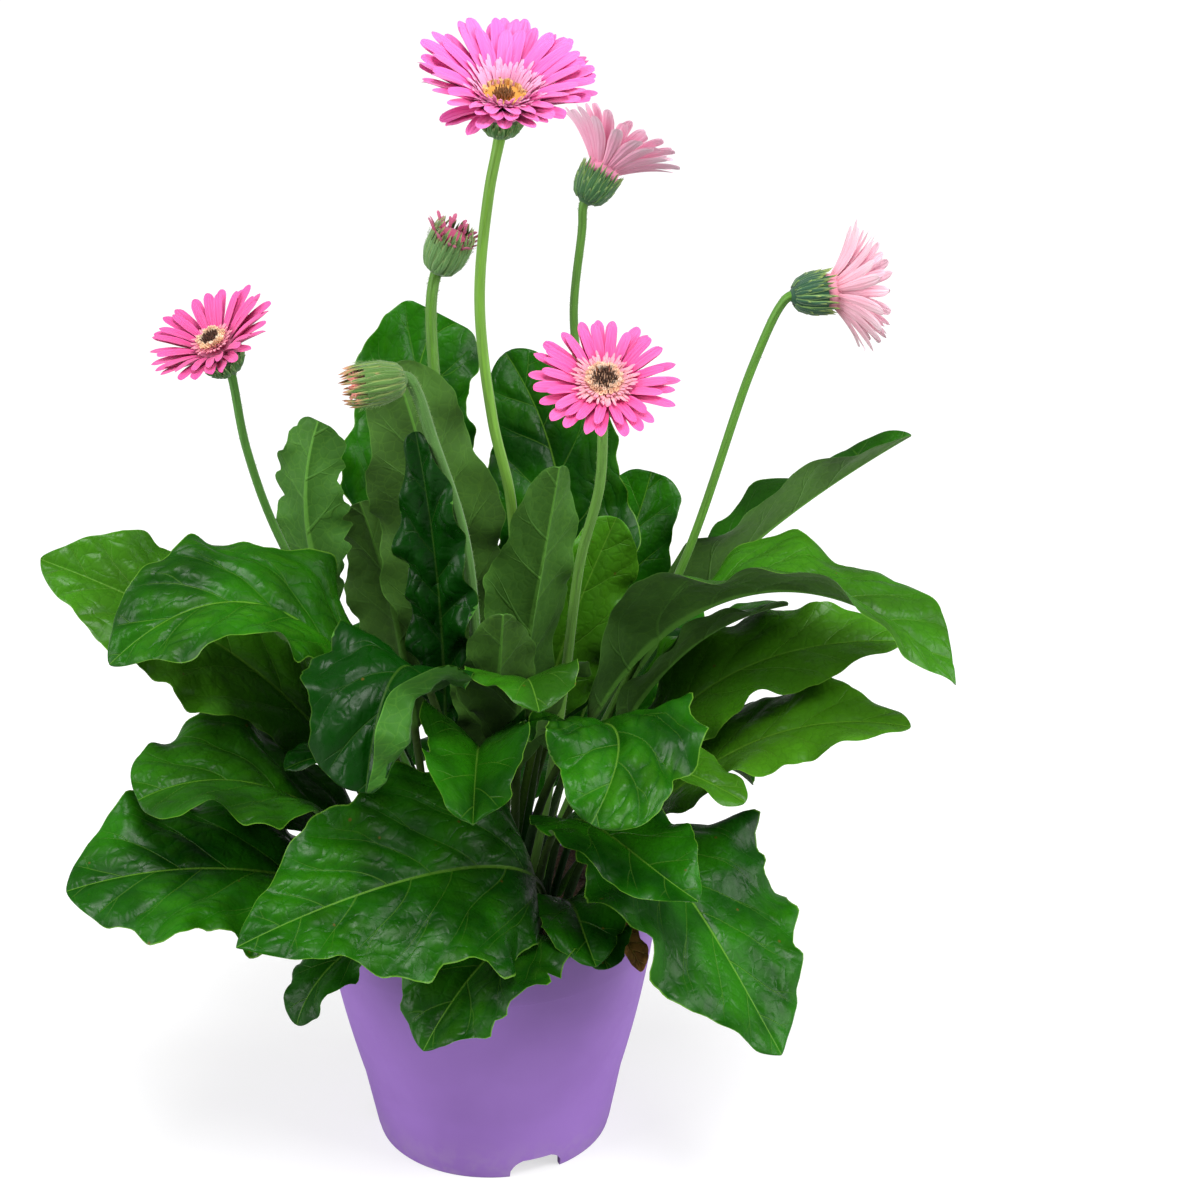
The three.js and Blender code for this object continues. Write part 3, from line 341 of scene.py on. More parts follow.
class GerberaStageSettings(bpy.types.PropertyGroup):
    """Floor and light."""

    floor: colour("Floor", "Colour of the floor", (0.40, 0.40, 0.40))
    glow: FloatProperty(name="Glow", description="Light that the floor gives off", default=0.64, min=0)
    sky: FloatProperty(name="Fill", description="Strength of the light from all sides", default=0.24, min=0)
    key: FloatProperty(name="Key", description="Strength of the overhead light", default=2.8, min=0)
    softbox: FloatProperty(
        name="Softboxes", description="Power of the two side lights", default=27.0, min=0, unit="POWER"
    )


# ---- Small helpers ---------------------------------------------------------------------------------


def direction(azimuth, elevation):
    """Unit vector at an azimuth and an elevation above the horizon, in degrees."""
    a, e = math.radians(azimuth), math.radians(elevation)
    return np.array([math.cos(a) * math.cos(e), math.sin(a) * math.cos(e), math.sin(e)])


def unit(vectors):
    return vectors / np.maximum(np.linalg.norm(vectors, axis=-1, keepdims=True), 1e-9)


def lerp(a, b, t):
    return a + (b - a) * t


def smooth(low, high, x):
    """0 below low, 1 above high and an easy run between."""
    t = np.clip((x - low) / (high - low), 0, 1)
    return t * t * (3 - 2 * t)


def root_point(root):
    return direction(root[0], 0) * root[1] + np.array([0, 0, SOIL.top])


def rippled(x, y, seed):
    """Slow, smooth, repeatable waves between about -1 and 1."""
    return (
        np.sin(x * 0.11 + seed) * np.cos(y * 0.13 - 1.7 * seed)
        + 0.6 * np.sin(x * 0.19 - y * 0.16 + 2.3 * seed)
        + 0.4 * np.cos(x * 0.31 + y * 0.27 + 3.1 * seed)
    ) / 1.6


def kept_in(points):
    """Eases what would stand out of the plant's box, at its sides or top, back into it."""
    low, high = np.array(CAD_BOX) / MM
    room = np.array([2.0, 2.0, 1.5])
    over = np.maximum(0, points - (high - room))
    points = points - over + room * (1 - np.exp(-over / room))
    beyond = np.maximum(0, low + room - points) * np.array([1, 1, 0])
    return points + beyond - room * (1 - np.exp(-beyond / room))


class Build:
    """Collects the points, faces, paints and surface fields of one piece, in millimetres."""

    def __init__(self):
        self.points, self.faces, self.paints, self.fields = [], [], [], []
        self.count = 0

    def add(self, points, faces, paint=0, **fields):
        points = kept_in(np.asarray(points, float).reshape(-1, 3))
        paints = paint if isinstance(paint, list) else [paint] * len(faces)
        self.points.append(points)
        self.faces += [tuple(i + self.count for i in face) for face in faces]
        self.paints += paints
        self.fields.append((self.count, len(points), fields))
        self.count += len(points)

    def piece(self, name, materials, node, slot, sharp=60):
        """Makes the object, lets it ride on the plant's one body and stand for its node."""
        mesh = bpy.data.meshes.new(name)
        mesh.from_pydata((np.concatenate(self.points) * MM).tolist(), [], self.faces)
        for material in materials:
            mesh.materials.append(material)
        mesh.polygons.foreach_set("material_index", np.array(self.paints, np.int32))
        mesh.polygons.foreach_set("use_smooth", np.ones(len(self.faces), bool))
        for field in sorted({key for _, _, fields in self.fields for key in fields}):
            values = np.zeros((self.count, 3), np.float32)
            for start, length, fields in self.fields:
                if field in fields:
                    values[start:start + length] = np.asarray(fields[field]).reshape(-1, 3)
            layer = mesh.attributes.new(field, "FLOAT_VECTOR", "POINT")
            layer.data.foreach_set("vector", values.ravel())
        mesh.validate()
        mesh.update()
        mesh.set_sharp_from_angle(angle=math.radians(sharp))
        made = bpy.data.objects.new(name, mesh)
        bpy.context.scene.collection.objects.link(made)
        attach(made, BODY)
        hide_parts(node)
        return made


def loft(rings, tip=None):
    """Points and faces of a skin over rings of equal length, closed at the start and by a tip or a face."""
    count, size = rings.shape[:2]
    points = rings.reshape(-1, 3)
    j = np.arange(size)
    after = (j + 1) % size
    faces = []
    for i in range(count - 1):
        low, high = i * size, (i + 1) * size
        faces += np.stack([low + j, low + after, high + after, high + j], 1).tolist()
    faces.append(list(range(size - 1, -1, -1)))
    last = (count - 1) * size
    if tip is None:
        faces.append([last + int(k) for k in j])
    else:
        points = np.concatenate([points, np.asarray(tip, float).reshape(1, 3)])
        faces += [[last + int(a), last + int(b), len(points) - 1] for a, b in zip(j, after)]
    return points, faces


def shell(top, bottom):
    """Rings round a thin sheet from its upper and lower grids, which share their outer columns."""
    return np.concatenate([top, bottom[:, -2:0:-1]], axis=1)


def two_sided(rings, upper):
    """Paints of a loft over shells: 0 on the upper faces of each ring, 1 on the rest and at the start."""
    ring = [0] * upper + [1] * (rings.shape[1] - upper)
    return ring * (len(rings) - 1) + [1] + ring


def lathe(profile, sides):
    """A closed solid of revolution about Z from [radius, height] pairs that start and end on the axis."""
    inner = np.array(profile[1:-1], float)
    angle = np.linspace(0, 2 * math.pi, sides, endpoint=False)
    rings = np.stack(
        [
            inner[:, None, 0] * np.cos(angle),
            inner[:, None, 0] * np.sin(angle),
            np.repeat(inner[:, 1:2], sides, 1),
        ],
        2,
    )
    points = np.concatenate([rings.reshape(-1, 3), [[0, 0, profile[0][1]], [0, 0, profile[-1][1]]]])
    faces = []
    for i in range(len(inner) - 1):
        for j in range(sides):
            k = (j + 1) % sides
            faces.append((i * sides + j, i * sides + k, (i + 1) * sides + k, (i + 1) * sides + j))
    start, end, last = len(points) - 2, len(points) - 1, (len(inner) - 1) * sides
    for j in range(sides):
        k = (j + 1) % sides
        faces += [(start, k, j), (end, last + j, last + k)]
    return points, faces


def spikes(points, ways, lengths, radius):
    """Fine hairs: one slim closed spike at each point."""
    points, ways = np.asarray(points, float), unit(np.asarray(ways, float))
    helper = np.where(np.abs(ways[:, 2:]) < 0.8, [[0, 0, 1]], [[1, 0, 0]])
    a = unit(np.cross(ways, helper))
    b = np.cross(ways, a)
    corners = [points + radius * (math.cos(k) * a + math.sin(k) * b) for k in THIRDS]
    tips = points + ways * np.asarray(lengths)[:, None]
    made = np.stack([*corners, tips], 1).reshape(-1, 3)
    start = np.arange(len(points))[:, None] * 4
    faces = [start + np.array(f) for f in ((0, 2, 1), (0, 1, 3), (1, 2, 3), (2, 0, 3))]
    return made, np.concatenate(faces).tolist()


# ---- Node helpers -----------------------------------------------------------------------------------


class Flow:
    """A shader node's output, with arithmetic that adds the nodes for it to the same tree."""

    def __init__(self, socket):
        self.socket, self.tree = socket, socket.id_data

    def maths(self, operation, *values):
        return added(self.tree, "ShaderNodeMath", dict(enumerate(values)), operation=operation)

    def __add__(self, other):
        return self.maths("ADD", self, other)

    def __radd__(self, other):
        return self.maths("ADD", other, self)

    def __sub__(self, other):
        return self.maths("SUBTRACT", self, other)

    def __mul__(self, other):
        return self.maths("MULTIPLY", self, other)

    def __truediv__(self, other):
        return self.maths("DIVIDE", self, other)

    def __pow__(self, other):
        return self.maths("POWER", self, other)

    def __abs__(self):
        return self.maths("ABSOLUTE", self)

    def ease(self, low, high, start=0.0, end=1.0):
        """A smooth step from start, where the value is low, to end, where it is high."""
        inputs = {0: self, 1: low, 2: high, 3: start, 4: end}
        return added(self.tree, "ShaderNodeMapRange", inputs, interpolation_type="SMOOTHSTEP")


def node(tree, kind, inputs=(), **settings):
    made = tree.nodes.new(kind)
    for key, value in settings.items():
        setattr(made, key, value)
    for key, value in dict(inputs).items():
        feed(value, made.inputs[key])
    return made


def added(tree, kind, inputs=(), output=0, **settings):
    return Flow(node(tree, kind, inputs, **settings).outputs[output])


def feed(value, socket):
    """Links an output to a socket or sets a plain value on it."""
    if isinstance(value, Flow):
        socket.id_data.links.new(value.socket, socket)
    elif socket.type == "RGBA" and len(value) == 3:
        socket.default_value = (*value, 1)
    else:
        socket.default_value = value


def blend(mask, a, b):
    settings = dict(data_type="RGBA", blend_type="MIX", clamp_factor=True)
    return added(mask.tree, "ShaderNodeMix", {0: mask, 6: a, 7: b}, output=2, **settings)


def layered(paint, *layers):
    """Lays colours over a paint, each where its own mask says."""
    for mask, shade in layers:
        paint = blend(mask, paint, shade)
    return paint


def toned(shade, factor, more=0.0):
    """A lighter or darker form of a colour."""
    return tuple(min(1, c * factor + more) for c in shade)


def parts(vector):
    return [Flow(s) for s in node(vector.tree, "ShaderNodeSeparateXYZ", {0: vector}).outputs]


def joined(x, y, z):
    return added(x.tree, "ShaderNodeCombineXYZ", {0: x, 1: y, 2: z})


def scaled(vector, by):
    return added(vector.tree, "ShaderNodeVectorMath", {0: vector, 1: by}, operation="MULTIPLY")


def cloud(place, scale, detail, output=0):
    inputs = {"Vector": place, "Scale": scale, "Detail": detail}
    return added(place.tree, "ShaderNodeTexNoise", inputs, output)


def cells(place, scale, output="Distance", **settings):
    return added(place.tree, "ShaderNodeTexVoronoi", {"Vector": place, "Scale": scale}, output, **settings)


def attribute(tree, name):
    return added(tree, "ShaderNodeAttribute", output="Vector", attribute_name=name)


def object_place(tree):
    return added(tree, "ShaderNodeTexCoord", output="Object")


FLOAT, VECTOR = "NodeSocketFloat", "NodeSocketVector"


def group(name, inputs, outputs, fill):
    """A node group with named sockets, built once. fill(tree, given) returns its outputs by name."""
    found = bpy.data.node_groups.get(name)
    if found:
        return found
    tree = bpy.data.node_groups.new(name, "ShaderNodeTree")
    for label, value in inputs.items():
        kind = VECTOR if value is None else FLOAT
        socket = tree.interface.new_socket(name=label, in_out="INPUT", socket_type=kind)
        if value is not None:
            socket.default_value = value
    for label in outputs:
        tree.interface.new_socket(name=label, in_out="OUTPUT", socket_type=FLOAT)
    given = {o.name: Flow(o) for o in node(tree, "NodeGroupInput").outputs if o.name}
    node(tree, "NodeGroupOutput", fill(tree, given))
    return tree


def use(tree, made, **inputs):
    """Places a node group, with its own values, and returns its outputs by name."""
    inputs = {label.replace("_", " "): value for label, value in inputs.items()}
    placed = node(tree, "ShaderNodeGroup", node_tree=made)
    for label, value in inputs.items():
        feed(value, placed.inputs[label])
    return {o.name: Flow(o) for o in placed.outputs}


def mottle_group():
    """Soft blotches with finer specks in them, from a place on the piece."""

    def fill(tree, given):
        place, scale = given["Place"], given["Scale"]
        return {
            "Blotches": cloud(place, scale, 3.0).ease(0.3, 0.7),
            "Specks": cloud(place, scale * 9.0, 2.0).ease(0.35, 0.65),
        }

    return group("Mottle", {"Place": None, "Scale": 30.0}, ("Blotches", "Specks"), fill)


def vein_group():
    """Midrib, forked side veins, fine network, edge line and quilting of a blade, from its fields."""

    def fill(tree, given):
        along, across, share = parts(attribute(tree, "blade"))
        phase, growth, tone = parts(attribute(tree, "veins"))
        pucker = parts(attribute(tree, "habit"))[1]
        place, span = given["Place"], abs(share)
        phase = phase + across.maths("GREATER_THAN", across, 0.0) * 0.5
        width = given["Vein width"] * span.ease(1.1, 0.0, 0.25, 1.0)

        def line(shift):
            turn = phase + shift
            away = abs(turn.maths("FRACT", turn) - 0.5) * given["Spacing"]
            return away, (away / width).ease(1.5, 0.5)

        away, main = line(0.0)
        fork = line((span - 0.42) * 0.75)[1] * span.ease(0.42, 0.44, 0.0, 0.7)
        side = main.maths("MAXIMUM", main, fork) * span.ease(0.99, 0.6, 0.1, 1)
        rib_width = given["Rib width"] * growth.ease(0.0, 1.1, 1.0, 0.2)
        rib = (abs(across) / rib_width).ease(1.3, 0.7)

        bend = scaled(cloud(place, 90.0, 1.0, output=1), (0.0035, 0.0035, 0.0))
        bent = added(tree, "ShaderNodeVectorMath", {0: bend, 1: place}, operation="ADD")
        net = cells(bent, 210.0, feature="DISTANCE_TO_EDGE")
        bent_along, bent_across, _ = parts(bent)
        steps = abs(bent_across) + bent_along * 0.3 + cloud(place, 48.0, 2.0) * 0.022
        steps = steps * (math.pi / (BLADE.quilt * MM))
        quilt = abs(steps.maths("SINE", steps)) ** 0.7
        quilt = quilt * cloud(place, 30.0, 1.0).ease(0.38, 0.62, 0.25, 1.1)
        swell = quilt * pucker * away.ease(0.0, 0.007)
        side_lines = side * given["Side strength"]
        return {
            "Lines": rib.maths("MAXIMUM", rib, side_lines),
            "Net": net.ease(0.07, 0.0),
            "Edge": span.ease(0.978, 0.994) * growth.ease(0.0, 0.05),
            "Swell": swell,
            "Spots": cells(place, 95.0).ease(0.09, 0.05) * cells(place, 95.0, "Color").ease(0.62, 0.66),
            "Tone": tone,
            "Growth": growth,
            "Height": net.ease(0.0, 0.25) * given["Grain"] + swell - side * given["Sunk"],
            "Stalk": growth.ease(0.06, 0.0),
            "Depth": along.ease(0.0, -0.07),
        }

    inputs = {
        "Place": None, "Spacing": 0.026, "Vein width": 0.0006, "Rib width": 0.0015, "Sunk": 0.6,
        "Side strength": 0.5, "Grain": 0.2,
    }
    outputs = ("Lines", "Net", "Edge", "Swell", "Spots", "Tone", "Growth", "Height", "Stalk", "Depth")
    return group("Leaf veins", inputs, outputs, fill)


def streak_group():
    """Fine lengthwise streaks and soft blotches of a ray or bract, from its surface field."""

    def fill(tree, given):
        along, across, chance = parts(given["Field"])
        place = joined(along * 1.2, across * given["Streaks"], chance * 37.0)
        grooves = across * given["Grooves"]
        return {
            "Along": along, "Across": across, "Chance": chance,
            "Streak": cloud(place, 1.0, 3.0).ease(0.32, 0.68),
            "Grooves": grooves.maths("COSINE", grooves),
        }

    inputs = {"Field": None, "Streaks": 7.0, "Grooves": 12.0}
    return group("Lengthwise streaks", inputs, ("Along", "Across", "Chance", "Streak", "Grooves"), fill)


def new_material(name, **uniform):
    """A material around one shader. uniform values are set on the shader's own sockets."""
    material = bpy.data.materials.get(name) or bpy.data.materials.new(name)
    material.use_nodes = True
    tree = material.node_tree
    tree.nodes.clear()
    shader = node(tree, "ShaderNodeBsdfPrincipled")
    end = node(tree, "ShaderNodeOutputMaterial")
    tree.links.new(shader.outputs[0], end.inputs[0])
    for label, value in uniform.items():
        feed(value, shader.inputs[label.replace("_", " ")])
    return material, tree, shader


def finish(shader, paint, rough, height=None, strength=0.0, depth=0.0):
    """Joins a paint, a roughness and a relief, with its strength and depth, to the shader."""
    feed(paint, shader.inputs["Base Color"])
    feed(rough, shader.inputs["Roughness"])
    if height:
        inputs = {"Strength": strength, "Distance": depth, "Height": height}
        feed(added(height.tree, "ShaderNodeBump", inputs), shader.inputs["Normal"])


# ---- Materials -------------------------------------------------------------------------------------


def leaf_looks(tree, scale, **veins):
    """The veins and the mottle of a leaf."""
    along, across, _ = parts(attribute(tree, "blade"))
    chance = parts(attribute(tree, "habit"))[2]
    place = joined(along, across, chance)
    return use(tree, vein_group(), Place=place, **veins), use(tree, mottle_group(), Place=place, Scale=scale)


def stalk_paint(veins):
    """The stalk's own green, with painted shade that darkens it down towards the compost, deep in the plant.
    """
    look = bpy.context.scene.gerbera_leaf
    return blend(veins["Depth"], toned(look.vein, 0.2), toned(look.upper_dark, 0.6))


def leaf_upper():
    look = bpy.context.scene.gerbera_leaf
    material, tree, shader = new_material("Leaf upper side", Specular_IOR_Level=0.14)
    veins, mottle = leaf_looks(
        tree, 26.0, Spacing=look.vein_spacing, Vein_width=0.0005, Rib_width=0.0009, Side_strength=0.4
    )
    green = layered(
        blend(mottle["Blotches"], look.upper_dark, look.upper),
        # Painted highlight: the tops of the swellings between the veins are painted lighter, where the light
        # falls on them.
        (veins["Swell"] * 0.14, look.upper_light),
        # Painted light and shade: a blade with a high tone is painted lighter, as a lit blade, and one with a
        # low tone darker, as a shaded one. Tone also gives each blade's own green.
        (veins["Tone"].ease(0.0, 1.0, 0.0, 0.8), look.upper_light),
        (veins["Tone"].ease(0.0, -1.0, 0.0, 0.9), look.upper_dark),
        # Painted shade: each blade darkens towards its stalk, where it lies in the shade deep in the plant.
        (veins["Growth"].ease(0.45, 0.05, 0.0, 0.5), look.upper_dark),
        (veins["Net"] * 0.18, look.upper_dark),
        (veins["Lines"] * 0.45, look.vein),
        (veins["Edge"] * 0.55, look.vein),
        # Very low tones darken the blade again, over its veins too. This is the blade's own dark green
        # together with painted shade.
        (veins["Tone"].ease(-0.5, -1.0, 0.0, 0.75), look.upper_dark),
        (veins["Spots"] * 0.7, (0.10, 0.06, 0.01)),
        (veins["Stalk"], stalk_paint(veins)),
    )
    rough = 0.26 + mottle["Specks"] * 0.14 + veins["Lines"] * 0.15
    finish(shader, green, rough, veins["Height"], 0.65, 0.0007)
    return material


def leaf_under():
    look = bpy.context.scene.gerbera_leaf
    uniform = dict(Specular_IOR_Level=0.22, Sheen_Weight=0.08, Sheen_Roughness=0.4)
    material, tree, shader = new_material("Leaf underside", **uniform)
    veins, mottle = leaf_looks(
        tree, 34.0, Spacing=look.vein_spacing, Vein_width=0.0008, Rib_width=0.0022, Sunk=-1.0,
        Side_strength=0.3,
    )
    pale = toned(look.under, 1.9)
    green = layered(
        blend(mottle["Blotches"], toned(look.under, 0.66), look.under),
        (veins["Tone"].ease(0.0, -1.0, 0.0, 0.6), look.upper),
        (veins["Net"] * 0.12, look.vein),
        # Painted shade: the underside darkens towards the stalk, where it lies in the shade deep in the
        # plant.
        (veins["Growth"].ease(0.5, 0.05, 0.0, 0.35), look.upper_dark),
        (veins["Lines"] * 0.75, pale),
        (veins["Edge"] * 0.5, pale),
        (veins["Stalk"], stalk_paint(veins)),
    )
    finish(shader, green, 0.6 + mottle["Specks"] * 0.15, veins["Height"], 0.5, 0.0006)
    return material


def leaf_dried():
    look = bpy.context.scene.gerbera_leaf
    material, tree, shader = new_material("Dried leaf", Specular_IOR_Level=0.2)
    veins, mottle = leaf_looks(tree, 120.0, Spacing=0.006, Vein_width=0.0005, Rib_width=0.001)
    brown = blend(mottle["Blotches"], toned(look.dried, 0.3), look.dried)
    brown = blend(veins["Lines"] * 0.5, brown, (0.6, 0.38, 0.14))
    finish(shader, brown, 0.7 + mottle["Specks"] * 0.2, veins["Height"], 0.9, 0.0008)
    return material


def ray_material(name, root, middle, tip, streak, amount=0.35, rough=0.5):
    """A ray's colour from its root over its middle to its tip, with streaks along it."""
    material, tree, shader = new_material(name, Specular_IOR_Level=0.3, Sheen_Weight=0.2)
    lines = use(tree, streak_group(), Field=attribute(tree, "ray"), Streaks=8.0, Grooves=9.5)
    paint = layered(
        blend(lines["Along"].ease(0.08, 0.42), root, middle),
        (lines["Along"].ease(0.55, 1.0), tip),
        (lines["Streak"] * amount, streak),
        # Painted highlight: each strip is painted lighter along its edges.
        (abs(lines["Across"]).ease(0.8, 1.0, 0.0, 0.35), toned(tip, 1.25, 0.08)),
        (lines["Chance"] * 0.18, streak),
    )
    height = lines["Grooves"] + lines["Streak"] * 0.8
    finish(shader, paint, rough + lines["Streak"] * 0.15, height, 0.45, 0.0003)
    return material


def stem_material(name, base):
    """A stem's green: streaked along its length, darker in its grooves."""
    material, tree, shader = new_material(name, Specular_IOR_Level=0.35, Sheen_Weight=0.2)
    lines = use(tree, streak_group(), Field=attribute(tree, "green"), Streaks=6.0, Grooves=14.0)
    dark = toned(base, 0.55)
    paint = blend(lines["Streak"] * 0.6, base, dark)
    paint = blend(lines["Chance"].ease(0.0, 1.0, 0.0, 0.35), paint, dark)
    height = lines["Streak"] + lines["Grooves"]
    finish(shader, paint, 0.45 + lines["Streak"] * 0.15, height, 0.4, 0.0003)
    return material


def bract_material(name, base, edge, tip):
    """A bract: dark along its back, pale at its edges, tinted at its tip."""
    material, tree, shader = new_material(name, Specular_IOR_Level=0.3, Sheen_Weight=0.3)
    lines = use(tree, streak_group(), Field=attribute(tree, "green"), Streaks=5.0, Grooves=7.0)
    paint = layered(
        blend(lines["Streak"] * 0.5, base, toned(base, 0.5)),
        (abs(lines["Across"]).ease(0.45, 1.0, 0.0, 0.9), edge),
        (lines["Along"].ease(0.7, 1.0, 0.0, 0.75), tip),
    )
    finish(shader, paint, 0.5 + lines["Streak"] * 0.2, lines["Streak"], 0.5, 0.0003)
    return material


def hair_material():
    hair = bpy.context.scene.gerbera_head.hair
    material, tree, shader = new_material("Down", Specular_IOR_Level=0.3)
    mottle = use(tree, mottle_group(), Place=object_place(tree), Scale=60.0)
    paint = blend(mottle["Specks"], hair, toned(hair, 0.7))
    finish(shader, paint, mottle["Blotches"].ease(0.0, 1.0, 0.5, 0.7))
    return material


def plastic_material():
    plastic = bpy.context.scene.gerbera_pot.plastic
    material, tree, shader = new_material("Violet plastic", Specular_IOR_Level=0.4)
    place = object_place(tree)
    mottle = use(tree, mottle_group(), Place=place, Scale=14.0)
    dusty = parts(place)[2].ease(0.03, 0.0) * (mottle["Specks"] * 0.25)
    paint = layered(
        blend(mottle["Blotches"], plastic, toned(plastic, 1.12, 0.01)),
        (dusty, (0.45, 0.36, 0.5)),
    )
    rough = 0.42 + mottle["Blotches"] * 0.1 + mottle["Specks"] * 0.06
    rings = cloud(scaled(place, (60.0, 60.0, 900.0)), 1.0, 2.0)
    finish(shader, paint, rough, rings + cloud(place, 2400.0, 1.0) * 0.5, 0.25, 0.0001)
    return material


def compost_material():
    compost = bpy.context.scene.gerbera_pot.compost
    material, tree, shader = new_material("Compost", Specular_IOR_Level=0.25)
    place = object_place(tree)
    mottle = use(tree, mottle_group(), Place=place, Scale=70.0)
    paint = layered(
        blend(mottle["Blotches"], compost, toned(compost, 2.6)),
        (cells(place, 420.0, "Color").ease(0.86, 0.95, 0.0, 0.6), (0.16, 0.10, 0.055)),
    )
    rough = mottle["Specks"].ease(0.0, 1.0, 0.75, 1.0)
    finish(shader, paint, rough, cells(place, 420.0), 0.9, 0.0012)
    return material


# ---- Pot and compost -------------------------------------------------------------------------------


def wall_radius(height):
    """Outer radius of the pot's wall between shoulder and band."""
    t = (height - POT.shoulder_height) / (POT.band_height - POT.shoulder_height)
    return lerp(POT.shoulder_radius, POT.band_radius, t + 4 * POT.bulge * t * (1 - t))


def pot_profile(step):
    """The pot's section, from the middle of its underside round the wall to the middle of its floor."""
    p, wall = POT, POT.wall
    floor_top = p.floor_height + wall
    skirt = p.foot_radius - p.skirt
    section = [
        (0, 0), (p.hub_radius - 0.5, 0), (p.hub_radius, 0.3),
        (p.hub_radius + p.hub_slope, p.floor_height - 0.4),
        (p.hub_radius + p.hub_slope + 0.6, p.floor_height),
        (skirt - 0.6, p.floor_height), (skirt, p.floor_height - 0.6),
        (skirt, 0.4), (skirt + 0.4, 0), (p.foot_radius - 1.1, 0),
    ]
    section += [(p.foot_radius - 1 + math.sin(a), 2 - 2 * math.cos(a)) for a in (0.3, 0.7, 1.1, 1.57)]
    for height in np.linspace(5, p.shoulder_height - 3, 6):
        section.append((lerp(p.foot_radius, p.shoulder_radius, height / p.shoulder_height), height))
    for height in np.linspace(p.shoulder_height, p.band_height - 1.2, 22):
        section.append((wall_radius(height), height))
    edge = p.band_height
    section += [
        (p.band_radius, edge - 0.4), (p.band_radius + step * 0.8, edge - 0.1),
        (p.band_radius + step, edge + 0.4),
    ]
    for height in np.linspace(edge + 3, p.height - p.lip, 8):
        t = (height - edge) / (p.height - p.lip - edge)
        section.append((lerp(p.band_radius + step, p.rim_radius, t), height))
    middle = p.rim_radius - p.lip + 0.1
    for angle in np.radians([15, 35, 60, 90, 120, 145, 165]):
        section.append((middle + 1.1 * math.cos(angle), p.height - p.lip + 1.2 * math.sin(angle)))
    section += [
        (p.rim_radius - wall, p.height - p.lip - 0.4),
        (p.band_radius - wall, edge), (wall_radius(80) - wall, 80), (wall_radius(55) - wall, 55),
        (p.shoulder_radius - wall, p.shoulder_height), (skirt, floor_top),
        (p.hub_radius + p.hub_slope - wall, floor_top), (p.hub_radius - wall, wall), (0, wall),
    ]
    return section


def cutter(near, far, material):
    """A closed solid between two outlines of equal length, to cut the pot with."""
    n = len(near)
    faces = [[j, (j + 1) % n, n + (j + 1) % n, n + j] for j in range(n)]
    faces += [list(range(n - 1, -1, -1)), list(range(n, 2 * n))]
    points = [*near, *far]
    mesh = bpy.data.meshes.new("cutter")
    mesh.from_pydata((np.asarray(points, float) * MM).tolist(), [], faces)
    mesh.materials.append(material)
    made = bpy.data.objects.new("cutter", mesh)
    bpy.context.scene.collection.objects.link(made)
    return made


def notch_points():
    """Outline of one drainage notch, across and up, with its upper corners rounded."""
    half, top, corner = POT.notch_width / 2, POT.notch_height, POT.notch_corner
    outline = [(-half, -1), (half, -1), (half, top - corner)]
    for t in (0.25, 0.5, 0.75, 1.0):
        angle = t * math.pi / 2
        x = lerp(half, half - corner, t) + 0.25 * corner * math.sin(2 * angle) * 0.5
        outline.append((x, lerp(top - corner, top, t) + 0.25 * corner * math.sin(2 * angle) * 0.5))
    mirrored = [(-x, z) for x, z in reversed(outline[2:])]
    return outline + mirrored


def build_pot():
    look = bpy.context.scene.gerbera_pot
    plastic = plastic_material()
    made = Build()
    made.add(*lathe(pot_profile(look.band_step / MM), look.sides))
    pot = made.piece("pot_shell", [plastic], "pot", "pot", sharp=35)
    outline = notch_points()
    tools = []
    for i in range(POT.notches):
        way = direction(POT.notch_angle + i * 360 / POT.notches, 0)
        side = np.array([-way[1], way[0], 0])
        ends = [
            [way * r + side * x + np.array([0, 0, z]) for x, z in outline]
            for r in (POT.foot_radius - POT.skirt - 5, POT.foot_radius + 12)
        ]
        tools.append(cutter(*ends, plastic))
    for i in range(POT.drain_holes):
        way = direction((i + 0.5) * 360 / POT.drain_holes, 0)
        centre = way * (POT.hub_radius + POT.foot_radius) / 2
        ring = [direction(a, 0) * POT.drain_radius for a in range(0, 360, 15)]
        ends = [[centre + r + np.array([0, 0, z]) for r in ring] for z in (9, 18)]
        tools.append(cutter(*ends, plastic))
    for tool in tools:
        cut = pot.modifiers.new("cut", "BOOLEAN")
        cut.operation, cut.solver, cut.object = "DIFFERENCE", "EXACT", tool
    bpy.context.view_layer.update()
    finished = bpy.data.meshes.new_from_object(pot.evaluated_get(bpy.context.evaluated_depsgraph_get()))
    pot.modifiers.clear()
    pot.data = finished
    finished.set_sharp_from_angle(angle=math.radians(35))
    for tool in tools:
        bpy.data.objects.remove(tool)
    if len(finished.polygons) < 1000:
        raise RuntimeError("the pot was lost in cutting its notches")


def soil_height(x, y, crumb):
    """Height of the compost at a place, in millimetres."""
    large = math.sin(x * 0.31 + 1) * math.cos(y * 0.27)
    small = math.sin(x * 0.53 - y * 0.61)
    rough = noise.fractal(Vector((x, y, 0)) * 0.16, 0.9, 2.1, 4)
    crumbs = 1 - min(1, 3.2 * noise.voronoi(Vector((x, y, 3)) * 0.13)[0][0])
    return SOIL.top + SOIL.lump * 0.6 * (large + 0.5 * small) + crumb * (0.5 * rough + 0.6 * crumbs)


